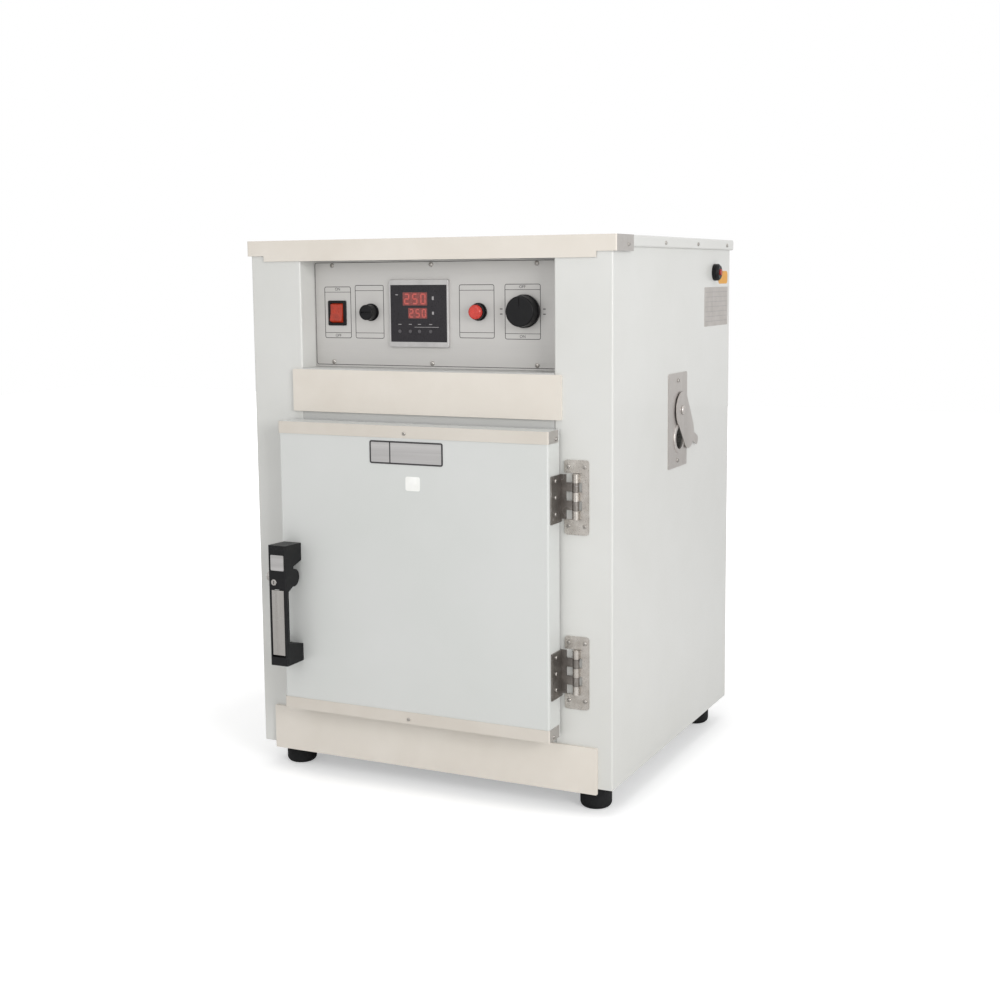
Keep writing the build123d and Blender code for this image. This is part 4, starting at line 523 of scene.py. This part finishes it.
FILMED_TRIM = FilmedSteel(
    "filmed top trim", CREAM, CREAM_SHADE, (0.36, 0.52), fine=160.0, slow=9.0, relief=0.00004,
    film_depth=TRIM_FACE + FILM_BEHIND_FACE,
)
FILMED_DOOR_TRIM = FilmedSteel(
    "filmed door trim", linear("CBC5BC"), linear("C4BDB3"), (0.36, 0.52), fine=160.0, slow=9.0,
    relief=0.00004, film_depth=DOOR_TRIM_FACE + FILM_BEHIND_FACE,
)

SLOT_FINISHES = {
    "cabinet_paint": PAINT,
    "door_paint": SHADED_DOOR_PAINT,
    "cream_film": FILM,
    "trim_steel": STEEL_Z,
    "panel_aluminium": PANEL,
    "chamber_steel": CHAMBER_STEEL,
    "hinge_steel": HINGE_STEEL,
    "zinc_steel": ZINC,
    "wool": WOOL,
    "black_rubber": RUBBER,
    "red_silicone": SILICONE,
    "black_plastic": BLACK_PLASTIC,
    "controller_black": CONTROLLER_BLACK,
    "controller_silver": CONTROLLER_SILVER,
    "key_grey": KEY_GREY,
    "red_lit": LAMP_RED,
    "red_button": BUTTON_RED,
    "latch_black": LATCH_BLACK,
    "lever_steel": LEVER_STEEL,
    "element_steel": ELEMENT,
    "screw_steel": SCREW_STEEL,
    "terminal_white": TERMINAL_WHITE,
}
# The door leaves of the hinges have darkened steel: painted shade and painted dark reflection beside the
# knuckles
SHADED_LEAF_STEEL = Scuffed(
    "shaded leaf", linear("8C8782"), linear("6F6A66"), (0.3, 0.5), 0.9, fine=600.0, slow=60.0
)
NODE_FINISHES = {
    "top_front_trim": FILMED_TRIM,
    "door_trims": FILMED_DOOR_TRIM,
    "rocker": ROCKER_RED,
    "front_frame": SHADED_FRAME_PAINT,
    "hinge_door_leaves": SHADED_LEAF_STEEL,
}


class Palette:
    """The materials in use, each finish built once."""

    def __init__(self) -> None:
        """Start with no material built."""
        self.built: dict[str, bpy.types.Material] = {}

    def get(self, finish: Finish) -> bpy.types.Material:
        """The material of a finish.

        Args:
            finish: The finish to build or look up.

        Returns:
            Its material.
        """
        if finish.name not in self.built:
            self.built[finish.name] = finish.material()
        return self.built[finish.name]

    def dress_frame(self) -> None:
        """Give every CAD node the finish of its slot, or its own."""
        for row in frame["record"]["subparts"]:
            finish = NODE_FINISHES.get(row["node"], SLOT_FINISHES[row["material_slot"]])
            node = frame["nodes"][row["node"]]
            for index in range(len(node.material_slots)):
                node.material_slots[index].material = self.get(finish)


PALETTE = Palette()


# Shapes

CORNER_SEGMENTS = 5
# The height of a capital in a font of size 1
CAPITAL_SHARE = 0.7
# The angle between two faces past which a smooth piece keeps a sharp edge
SHARP_ANGLE = math.radians(32)


def rounded_sheet(width: float, height: float, radius: float) -> bmesh.types.BMesh:
    """A flat sheet with rounded corners, centred on the origin.

    Args:
        width: Its size along X, in millimetres.
        height: Its size along Y, in millimetres.
        radius: Its corner radius in millimetres, or 0 for sharp corners.

    Returns:
        The sheet, in metres.
    """
    sheet = bmesh.new()
    bmesh.ops.create_grid(sheet, x_segments=1, y_segments=1, size=0.5)
    bmesh.ops.scale(sheet, vec=(width * MM, height * MM, 1), verts=sheet.verts)
    if radius:
        bmesh.ops.bevel(
            sheet,
            geom=list(sheet.verts),
            offset=radius * MM,
            segments=CORNER_SEGMENTS,
            affect="VERTICES",
            profile=0.5,
            material=-1,
        )
    return sheet


def thicken(sheet: bmesh.types.BMesh, thickness: float) -> bmesh.types.BMesh:
    """Raise a flat sheet to a solid that stands on Z = 0.

    Args:
        sheet: The sheet, which is changed.
        thickness: The solid's size along Z, in millimetres.

    Returns:
        The same bmesh.
    """
    raised = bmesh.ops.extrude_face_region(sheet, geom=list(sheet.faces))
    top = [item for item in raised["geom"] if isinstance(item, bmesh.types.BMVert)]
    bmesh.ops.translate(sheet, vec=(0, 0, thickness * MM), verts=top)
    return sheet


def plate(width: float, height: float, radius: float, thickness: float) -> bmesh.types.BMesh:
    """A flat plate with rounded corners that stands on Z = 0, its sizes in millimetres."""
    return thicken(rounded_sheet(width, height, radius), thickness)


def frame_line(
    width: float, height: float, radius: float, line: float, thickness: float
) -> bmesh.types.BMesh:
    """A line round a rectangle with rounded corners, centred on the origin.

    Args:
        width: The outer size along X, in millimetres.
        height: The outer size along Y, in millimetres.
        radius: The outer corner radius, in millimetres.
        line: The line's width, in millimetres.
        thickness: The line's size along Z, in millimetres.

    Returns:
        The line, in metres.
    """
    sheet = rounded_sheet(width, height, radius)
    middle = list(sheet.faces)
    bmesh.ops.inset_region(
        sheet, faces=middle, thickness=line * MM, use_boundary=True, use_even_offset=True
    )
    bmesh.ops.delete(sheet, geom=middle, context="FACES")
    return thicken(sheet, thickness)


def placed(shape: bmesh.types.BMesh, matrix: Matrix) -> bmesh.types.BMesh:
    """Move a shape by a matrix and return it."""
    bmesh.ops.transform(shape, matrix=matrix, verts=shape.verts)
    return shape


def on_front(x: float, z: float, face: float) -> Matrix:
    """The transform that puts a flat shape on a face that looks to the front.

    Args:
        x: Its centre, in millimetres to the right of the cabinet's corner.
        z: Its centre, in millimetres above the cabinet's corner.
        face: The place of the face along Y, in metres.

    Returns:
        A four by four matrix.
    """
    point = place(x, 0, z)
    return Facing.FRONT.matrix(Vector((point.x, face, point.z)))


def append(shape: bmesh.types.BMesh, part: bmesh.types.BMesh, matrix: Matrix | None = None) -> None:
    """Add one bmesh to another and free it.

    Args:
        shape: The bmesh that grows.
        part: The bmesh that is added.
        matrix: Where it goes, if not where it is.
    """
    mesh = bpy.data.meshes.new("part")
    if matrix is not None:
        placed(part, matrix)
    part.to_mesh(mesh)
    part.free()
    shape.from_mesh(mesh)
    bpy.data.meshes.remove(mesh)


def lettering(text: str, height: float, thickness: float) -> bmesh.types.BMesh:
    """Flat letters as a bmesh, centred on the origin and standing on Z = 0.

    Args:
        text: The letters.
        height: The height of a capital, in millimetres.
        thickness: The size along Z, in millimetres.

    Returns:
        The letters, in metres.
    """
    curve = bpy.data.curves.new("letters", "FONT")
    curve.body = text
    curve.size = height * MM / CAPITAL_SHARE
    curve.extrude = thickness * MM / 2
    curve.align_x = "CENTER"
    curve.align_y = "CENTER"
    holder = bpy.data.objects.new("letters", curve)
    bpy.context.scene.collection.objects.link(holder)
    bpy.context.view_layer.update()
    evaluated = holder.evaluated_get(bpy.context.evaluated_depsgraph_get())
    mesh = bpy.data.meshes.new_from_object(evaluated)
    letters = bmesh.new()
    letters.from_mesh(mesh)
    bmesh.ops.translate(letters, vec=(0, 0, thickness * MM / 2), verts=letters.verts)
    bpy.data.objects.remove(holder)
    bpy.data.curves.remove(curve)
    bpy.data.meshes.remove(mesh)
    return letters


# The ends of each stroke of a digit, in its unit square, and the strokes of the digits in use
SEGMENTS = {
    "a": ((0, 1), (1, 1)),
    "b": ((1, 0.5), (1, 1)),
    "c": ((1, 0), (1, 0.5)),
    "d": ((0, 0), (1, 0)),
    "e": ((0, 0), (0, 0.5)),
    "f": ((0, 0.5), (0, 1)),
    "g": ((0, 0.5), (1, 0.5)),
}
DIGITS = {
    "0": "abcdef",
    "2": "abged",
    "5": "afgcd",
}
# How much shorter a stroke is than the way between its ends, as a share of its width
STROKE_GAP = 0.4


def seven_segments(
    digit: str, width: float, height: float, stroke: float, thickness: float
) -> bmesh.types.BMesh:
    """One digit of a lit display, its sizes in millimetres.

    Args:
        digit: The digit.
        width: Its width between the middles of its upright strokes.
        height: Its height between the middles of its top and bottom strokes.
        stroke: The width of a stroke.
        thickness: Its size along Z.

    Returns:
        The digit's strokes, centred on the origin, in metres.
    """
    shape = bmesh.new()
    for name in DIGITS[digit]:
        ends = [Vector(((x - 0.5) * width, (y - 0.5) * height, 0)) for x, y in SEGMENTS[name]]
        run = ends[1] - ends[0]
        bar = plate(run.length - stroke * STROKE_GAP, stroke, 0, thickness)
        turn = Matrix.Rotation(math.atan2(run.y, run.x), 4, "Z")
        append(shape, bar, Matrix.Translation((ends[0] + ends[1]) / 2 * MM) @ turn)
    return shape


def add_piece(
    name: str,
    shape: bmesh.types.BMesh,
    finish: Finish,
    body: str,
    smooth: bool = False,
    replaces: Sequence[str] = (),
) -> bpy.types.Object:
    """Turn a bmesh into a piece of the scene.

    Args:
        name: The piece's name.
        shape: Its shape in the frame, in metres; it is freed.
        finish: Its finish.
        body: The body that it rides on.
        smooth: Whether its faces are shaded smooth, up to sharp edges.
        replaces: The CAD nodes that it stands for.

    Returns:
        The piece's object.
    """
    bmesh.ops.recalc_face_normals(shape, faces=shape.faces)
    mesh = bpy.data.meshes.new(name)
    shape.to_mesh(mesh)
    shape.free()
    if smooth:
        mesh.shade_smooth()
        mesh.set_sharp_from_angle(angle=SHARP_ANGLE)
    mesh.materials.append(PALETTE.get(finish))
    piece = bpy.data.objects.new(name, mesh)
    bpy.context.scene.collection.objects.link(piece)
    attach(piece, body)
    if replaces:
        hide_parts(*replaces)
    LOG.info("%s: %d faces on %s", name, len(mesh.polygons), body)
    return piece


# Sub-assemblies


@dataclass
class Panel:
    """The print on the control panel, and the controller's window."""

    line: float = 0.9
    ink: float = 0.12
    boxes: tuple[tuple[float, float, float, float], ...] = (
        (102.0, 147.0, 613.0, 688.0),
        (154.0, 202.0, 613.0, 690.0),
        (324.0, 379.0, 615.0, 690.0),
        (395.0, 449.5, 614.0, 690.5),
    )
    box_radius: float = 3.0
    strip: float = 8.0
    strip_line: float = 0.8
    border: tuple[float, float, float, float] = (86.0, 483.5, 574.0, 723.0)
    border_radius: float = 4.0
    word_height: float = 4.0
    words: tuple[tuple[str, float, float], ...] = (
        ("ON", 124.5, 684.0),
        ("OFF", 124.5, 617.0),
        ("OFF", 422.0, 686.5),
        ("ON", 422.0, 618.0),
    )
    knob_mark: tuple[float, float] = (4.0, 1.3)
    knob_mark_xs: tuple[float, ...] = (389.5, 455.0)
    knob_mark_zs: tuple[float, ...] = (649.0, 656.0)
    rows: tuple[tuple[str, float, float, float, float], ...] = (
        ("250", 235.3, 274.8, 660.8, 679.3),
        ("250", 244.0, 274.5, 642.4, 657.2),
    )
    pane_radius: float = 0.8
    pane: float = 0.1
    digit_height: float = 0.72
    digit_width: float = 0.5
    digit_stroke: float = 0.15
    key_dash_xs: tuple[float, ...] = (230.0, 247.0, 262.0, 280.0)
    key_dash_z: float = 634.0
    key_dash: tuple[float, float] = (5.0, 1.0)
    marks: tuple[tuple[float, float, float, float], ...] = (
        (273.5, 630.0, 39.0, 0.7),
        (225.5, 676.0, 4.0, 1.4),
        (284.0, 671.0, 3.0, 5.0),
        (284.0, 650.0, 3.0, 4.0),
    )
    face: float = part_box("control_panel")[0][1]

    def print_lines(self) -> None:
        """Print the border, the boxes and their header and footer lines."""
        lines = bmesh.new()
        outlines = [(self.border, self.border_radius), *((box, self.box_radius) for box in self.boxes)]
        for (left, right, low, high), radius in outlines:
            outline = frame_line(right - left, high - low, radius, self.line, self.ink)
            append(lines, outline, on_front((left + right) / 2, (low + high) / 2, self.face))
        for left, right, low, high in self.boxes:
            for z in (low + self.strip, high - self.strip):
                strip = plate(right - left - self.line, self.line * self.strip_line, 0, self.ink)
                append(lines, strip, on_front((left + right) / 2, z, self.face))
        add_piece("panel_lines", lines, INK, "cabinet")

    def print_words(self) -> None:
        """Print the plain switch words and the position marks of the knob."""
        words = bmesh.new()
        for text, x, z in self.words:
            append(words, lettering(text, self.word_height, self.ink), on_front(x, z, self.face))
        for x in self.knob_mark_xs:
            for z in self.knob_mark_zs:
                append(words, plate(*self.knob_mark, 0, self.ink), on_front(x, z, self.face))
        add_piece("panel_words", words, INK, "cabinet")

    def light_display(self) -> None:
        """Set the two rows of digits and the small marks in the controller's window."""
        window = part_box("controller_face")[0][1]
        panes = bmesh.new()
        digits = bmesh.new()
        for text, left, right, bottom, top in self.rows:
            level = (bottom + top) / 2
            pane = plate(right - left, top - bottom, self.pane_radius, self.pane)
            append(panes, pane, on_front((left + right) / 2, level, window))
            pitch = (right - left) / len(text)
            height = (top - bottom) * self.digit_height
            width, stroke = pitch * self.digit_width, height * self.digit_stroke
            for index, digit in enumerate(text):
                glyph = seven_segments(digit, width, height, stroke, self.pane)
                middle = left + (index + 0.5) * pitch
                append(digits, glyph, on_front(middle, level, window - self.pane * MM))
        add_piece("display_windows", panes, DISPLAY_DARK, "cabinet")
        add_piece("display_digits", digits, DIGIT_RED, "cabinet")
        marks = bmesh.new()
        dashes = [(x, self.key_dash_z, *self.key_dash) for x in self.key_dash_xs]
        for x, z, width, height in (*dashes, *self.marks):
            append(marks, plate(width, height, 0, self.pane), on_front(x, z, window))
        add_piece("controller_marks", marks, GREY_INK, "cabinet")

    def build(self) -> None:
        """Make all the pieces of the panel."""
        self.print_lines()
        self.print_words()
        self.light_display()


@dataclass
class Door:
    """The bare plates on the door and on its latch."""

    plate_centre: tuple[float, float] = (278.0, 458.2)
    plate_size: tuple[float, float] = (115.0, 31.5)
    plate_radius: float = 2.5
    plate_thickness: float = 0.6
    border_size: tuple[float, float] = (116.0, 32.5)
    border_radius: float = 3.0
    border_line: float = 2.2
    border_thickness: float = 0.75
    divider_place: float = -25.4
    divider_size: tuple[float, float] = (1.8, 30.0)
    sticker_centre: tuple[float, float] = (288.0, 415.5)
    sticker_size: tuple[float, float] = (23.0, 20.0)
    sticker_radius: float = 3.0
    sticker_thickness: float = 0.12
    badge_centre: tuple[float, float] = (87.0, 295.75)
    badge_size: tuple[float, float] = (22.0, 22.5)
    badge_radius: float = 1.5
    badge_thickness: float = 0.5
    face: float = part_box("door_shell")[0][1]
    latch_face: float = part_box("latch_body")[0][1]

    def name_plate(self) -> None:
        """Fix the bare name plate with its dark border and divider."""
        spot = on_front(*self.plate_centre, self.face)
        foil = placed(plate(*self.plate_size, self.plate_radius, self.plate_thickness), spot)
        add_piece("name_plate", foil, PLATE_SILVER, "door")
        border = frame_line(
            *self.border_size, self.border_radius, self.border_line, self.border_thickness
        )
        divider = plate(*self.divider_size, 0, self.border_thickness)
        append(border, divider, Matrix.Translation((self.divider_place * MM, 0, 0)))
        add_piece("name_plate_border", placed(border, spot), PLATE_INK, "door")

    def sticker(self) -> None:
        """Stick the small blank sticker under the name plate."""
        paper = plate(*self.sticker_size, self.sticker_radius, self.sticker_thickness)
        spot = on_front(*self.sticker_centre, self.face)
        add_piece("door_sticker", placed(paper, spot), PAPER, "door")

    def latch_badge(self) -> None:
        """Fix the blank badge on the latch."""
        badge = plate(*self.badge_size, self.badge_radius, self.badge_thickness)
        spot = on_front(*self.badge_centre, self.latch_face)
        add_piece("latch_badge", placed(badge, spot), PLATE_SILVER, "door")

    def build(self) -> None:
        """Make all the pieces of the door."""
        self.name_plate()
        self.sticker()
        self.latch_badge()


@dataclass
class Side:
    """The labels on the right side of the cabinet."""

    label_centre: tuple[float, float] = (446.5, 650.75)
    label_size: tuple[float, float] = (119.0, 60.5)
    label_radius: float = 1.0
    label_thickness: float = 0.3
    rows: int = 8
    rule: float = 0.6
    rule_margin: float = 8.0
    rule_thickness: float = 0.36
    column: float = 425.0
    sticker_centre: tuple[float, float] = (480.5, 696.0)
    sticker_size: tuple[float, float] = (49.0, 20.0)
    sticker_radius: float = 7.0
    sticker_thickness: float = 0.2
    face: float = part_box("right_side_panel")[1][0]

    def spot(self, y: float, z: float) -> Matrix:
        """The transform that puts a flat shape on the right side."""
        centre = place(0, y, z)
        return Facing.RIGHT.matrix(Vector((self.face, centre.y, centre.z)))

    def rating_label(self) -> None:
        """Stick the bare label with its printed rules."""
        width, height = self.label_size
        middle, level = self.label_centre
        label = plate(width, height, self.label_radius, self.label_thickness)
        add_piece("rating_label", placed(label, self.spot(middle, level)), LABEL, "cabinet")
        rules = bmesh.new()
        for row in range(1, self.rows):
            rule = plate(width - self.rule_margin, self.rule, 0, self.rule_thickness)
            append(rules, rule, self.spot(middle, level + height / 2 - row * height / self.rows))
        column = plate(self.rule, height - self.rule_margin, 0, self.rule_thickness)
        append(rules, column, self.spot(self.column, level))
        add_piece("rating_label_rules", rules, GREY_INK, "cabinet")

    def orange_sticker(self) -> None:
        """Stick the blank orange sticker."""
        sticker = plate(*self.sticker_size, self.sticker_radius, self.sticker_thickness)
        spot = self.spot(*self.sticker_centre)
        add_piece("orange_sticker", placed(sticker, spot), ORANGE, "cabinet")

    def build(self) -> None:
        """Make all the labels of the side."""
        self.rating_label()
        self.orange_sticker()


@dataclass
class Screws:
    """Cross-recessed pan-head screws in the places of the plain CAD screws."""

    sides: int = 20
    profile: tuple[tuple[float, float], ...] = (
        (1.0, 0.0),
        (1.0, 0.32),
        (0.93, 0.58),
        (0.78, 0.8),
        (0.52, 0.95),
        (0.0, 1.0),
    )
    recess_length: float = 1.1
    recess_width: float = 0.26
    turn_step: float = 2.4
    rim_share: float = 0.95
    weld: float = 1e-4
    frame_weld: float = 1e-6

    def head(self) -> bmesh.types.BMesh:
        """A domed head of unit radius and unit height with a cross recess, standing on Z = 0."""
        dome = bmesh.new()
        verts = [dome.verts.new((x, 0, z)) for x, z in self.profile]
        edges = [dome.edges.new(pair) for pair in zip(verts, verts[1:])]
        bmesh.ops.spin(
            dome,
            geom=verts + edges,
            cent=(0, 0, 0),
            axis=(0, 0, 1),
            angle=math.tau,
            steps=self.sides,
            use_merge=True,
        )
        bmesh.ops.remove_doubles(dome, verts=dome.verts, dist=self.weld)
        rim = [edge for edge in dome.edges if edge.is_boundary]
        bmesh.ops.holes_fill(dome, edges=rim, sides=0)
        bmesh.ops.recalc_face_normals(dome, faces=dome.faces)
        return self.cut_recess(dome)

    def cut_recess(self, dome: bmesh.types.BMesh) -> bmesh.types.BMesh:
        """Cut the cross recess into a head.

        Args:
            dome: The head; it is freed.

        Returns:
            The head with its recess.
        """
        cross = bmesh.new()
        arms = (self.recess_length, self.recess_width)
        for width, height in (arms, arms[::-1]):
            bar = bmesh.new()
            made = bmesh.ops.create_cube(bar, size=1.0)
            bmesh.ops.scale(bar, vec=(width, height, 1.0), verts=made["verts"])
            append(cross, bar, Matrix.Translation((0, 0, 1.0)))
        holders = []
        for label, part in (("head", dome), ("recess", cross)):
            mesh = bpy.data.meshes.new(label)
            part.to_mesh(mesh)
            part.free()
            holder = bpy.data.objects.new(label, mesh)
            bpy.context.scene.collection.objects.link(holder)
            holders.append(holder)
        cutter = holders[0].modifiers.new("recess", "BOOLEAN")
        cutter.operation = "DIFFERENCE"
        cutter.solver = "EXACT"
        cutter.use_self = True
        cutter.object = holders[1]
        bpy.context.view_layer.update()
        result = bpy.data.meshes.new_from_object(
            holders[0].evaluated_get(bpy.context.evaluated_depsgraph_get())
        )
        head = bmesh.new()
        head.from_mesh(result)
        for holder in holders:
            bpy.data.meshes.remove(holder.data)
        bpy.data.meshes.remove(result)
        return head

    def islands(self, node: str) -> list[list[Vector]]:
        """The points of each separate screw of a CAD node.

        Args:
            node: The node's name.

        Returns:
            One list of points for each screw.
        """
        loose = bmesh.new()
        loose.from_mesh(frame["nodes"][node].data)
        bmesh.ops.remove_doubles(loose, verts=loose.verts, dist=self.frame_weld)
        waiting = set(loose.verts)
        found = []
        while waiting:
            border = [waiting.pop()]
            island = []
            while border:
                vert = border.pop()
                island.append(vert.co.copy())
                for edge in vert.link_edges:
                    other = edge.other_vert(vert)
                    if other in waiting:
                        waiting.remove(other)
                        border.append(other)
            found.append(island)
        loose.free()
        return found

    def seat(self, points: list[Vector]) -> tuple[Matrix, float, float]:
        """Read the place, head radius and head height of one plain screw.

        Args:
            points: The screw's points.

        Returns:
            The transform of its head's seat, the head's radius and the head's height.
        """
        low = Vector([min(p[i] for p in points) for i in range(3)])
        high = Vector([max(p[i] for p in points) for i in range(3)])
        size = high - low
        pairs = ((0, 1, 2), (1, 0, 2), (2, 0, 1))
        axis = min(pairs, key=lambda pair: abs(size[pair[1]] - size[pair[2]]))[0]
        centre = (low + high) / 2
        radius = max(size[i] for i in range(3) if i != axis) / 2

        def away(point: Vector) -> float:
            """The distance of a point from the screw's axis."""
            offset = point - centre
            offset[axis] = 0
            return offset.length

        rim = [p[axis] for p in points if away(p) > radius * self.rim_share]
        outward = 1 if sum(rim) / len(rim) > centre[axis] else -1
        seat = min(rim) if outward > 0 else max(rim)
        origin = centre.copy()
        origin[axis] = seat
        direction = Vector([outward if i == axis else 0 for i in range(3)])
        turn = direction.to_track_quat("Z", "Y").to_matrix().to_4x4()
        return Matrix.Translation(origin) @ turn, radius, max(rim) - min(rim)

    def build(self) -> None:
        """Replace the plain screws of the cabinet and of the door."""
        head = self.head()
        mesh = bpy.data.meshes.new("screw_head")
        head.to_mesh(mesh)
        head.free()
        for node, body in (("cabinet_screws", "cabinet"), ("door_screws", "door")):
            shape = bmesh.new()
            for index, points in enumerate(self.islands(node)):
                matrix, radius, height = self.seat(points)
                part = bmesh.new()
                part.from_mesh(mesh)
                turned = Matrix.Rotation(index * self.turn_step, 4, "Z")
                scaled = Matrix.Diagonal((radius, radius, height, 1))
                append(shape, part, matrix @ turned @ scaled)
            name = f"{node}_detailed"
            add_piece(name, shape, SCREW_STEEL, body, smooth=True, replaces=[node])
        bpy.data.meshes.remove(mesh)


@dataclass
class Studio:
    """The camera of the photograph, the soft lamps, the white surround and the floor."""

    image: float = 1000.0
    focal: float = 1488.5
    principal: tuple[float, float] = (496.43, 469.76)
    eye: tuple[float, float, float] = (1286.5, -1836.0, 702.8)
    yaw: float = 0.4508
    pitch: float = 0.1301
    roll: float = -0.0089
    sensor: float = 36.0
    clip_start: float = 0.05
    target: tuple[float, float, float] = (0.0, 0.0, 0.4)
    lamps: tuple[tuple[str, tuple[float, float, float], float, float], ...] = (
        ("key lamp", (3.0, -2.0, 1.3), 1.6, 66.0),
        ("front lamp", (-0.4, -3.4, 1.8), 2.4, 22.0),
        ("top lamp", (0.2, -0.4, 3.4), 2.4, 26.0),
    )
    ambient: float = 0.55
    floor_size: float = 6.0
    floor_colour: Colour = (0.86, 0.86, 0.86)
    floor_roughness: float = 0.9
    floor_fade: tuple[float, float] = (0.5, 1.5)
    floor_glow: tuple[float, float] = (0.35, 1.0)

    def camera(self) -> None:
        """Place the camera."""
        data = bpy.data.cameras.new("camera")
        data.sensor_width = self.sensor
        data.lens = self.focal / self.image * self.sensor
        data.shift_x = 0.5 - self.principal[0] / self.image
        data.shift_y = self.principal[1] / self.image - 0.5
        data.clip_start = self.clip_start
        holder = bpy.data.objects.new("camera", data)
        turn = Matrix.Rotation(self.yaw, 3, "Z")
        tilt = Matrix.Rotation(math.pi / 2 - self.pitch, 3, "X")
        rotation = turn @ tilt @ Matrix.Rotation(self.roll, 3, "Z")
        holder.matrix_world = Matrix.Translation(place(*self.eye)) @ rotation.to_4x4()
        bpy.context.scene.collection.objects.link(holder)
        bpy.context.scene.camera = holder

    def lamp(self, name: str, spot: Vector, target: Vector, size: float, power: float) -> None:
        """Hang one soft lamp.

        Args:
            name: Its name.
            spot: Where it hangs.
            target: Where it points.
            size: The side of its square face.
            power: Its power in watts.
        """
        data = bpy.data.lights.new(name, "AREA")
        data.size = size
        data.energy = power
        holder = bpy.data.objects.new(name, data)
        holder.location = spot
        holder.rotation_euler = (target - spot).to_track_quat("-Z", "Y").to_euler()
        bpy.context.scene.collection.objects.link(holder)

    def surround(self) -> None:
        """Show white behind the oven, and light it softly from all round."""
        world = bpy.data.worlds.new("surround")
        bpy.context.scene.world = world
        world.use_nodes = True
        tree = world.node_tree
        background = tree.nodes["Background"]
        background.inputs["Color"].default_value = (1, 1, 1, 1)
        path = tree.nodes.new("ShaderNodeLightPath")
        seen = path.outputs["Is Camera Ray"]
        for other in ("Is Glossy Ray", "Is Transmission Ray"):
            either = tree.nodes.new("ShaderNodeMath")
            either.operation = "MAXIMUM"
            tree.links.new(seen, either.inputs[0])
            tree.links.new(path.outputs[other], either.inputs[1])
            seen = either.outputs["Value"]
        tree.links.new(mapped(tree, seen, SHARE, (self.ambient, 1.0)), background.inputs["Strength"])

    def floor(self) -> None:
        """Lay a pale floor that keeps the oven's shadow and looks white round it."""
        shape = bmesh.new()
        bmesh.ops.create_grid(shape, x_segments=1, y_segments=1, size=self.floor_size)
        mesh = bpy.data.meshes.new("floor")
        shape.to_mesh(mesh)
        shape.free()
        floor = bpy.data.objects.new("floor", mesh)
        bpy.context.scene.collection.objects.link(floor)
        material = bpy.data.materials.new("floor")
        material.use_nodes = True
        tree = material.node_tree
        shader = tree.nodes["Principled BSDF"]
        shader.inputs["Base Color"].default_value = (*self.floor_colour, 1)
        shader.inputs["Roughness"].default_value = self.floor_roughness
        shader.inputs["Emission Color"].default_value = (1, 1, 1, 1)
        path = tree.nodes.new("ShaderNodeLightPath")
        coordinates = tree.nodes.new("ShaderNodeTexCoord")
        distance = tree.nodes.new("ShaderNodeVectorMath")
        distance.operation = "LENGTH"
        tree.links.new(coordinates.outputs["Object"], distance.inputs[0])
        glow = tree.nodes.new("ShaderNodeMath")
        glow.operation = "MULTIPLY"
        fade = mapped(tree, distance.outputs["Value"], self.floor_fade, self.floor_glow)
        tree.links.new(fade, glow.inputs[0])
        tree.links.new(path.outputs["Is Camera Ray"], glow.inputs[1])
        tree.links.new(glow.outputs["Value"], shader.inputs["Emission Strength"])
        mesh.materials.append(material)

    def build(self) -> None:
        """Set up the whole studio."""
        self.camera()
        for name, spot, size, power in self.lamps:
            self.lamp(name, Vector(spot), Vector(self.target), size, power)
        self.surround()
        self.floor()
        bpy.context.scene.view_settings.view_transform = "Standard"


def main() -> None:
    """Dress the frame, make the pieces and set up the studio."""
    logging.basicConfig(level=logging.INFO, format="%(name)s %(message)s")
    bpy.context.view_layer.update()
    PALETTE.dress_frame()
    for assembly in (Panel(), Door(), Side(), Screws(), Studio()):
        assembly.build()
        LOG.info("%s done", type(assembly).__name__)


if __name__ == "__main__":
    main()
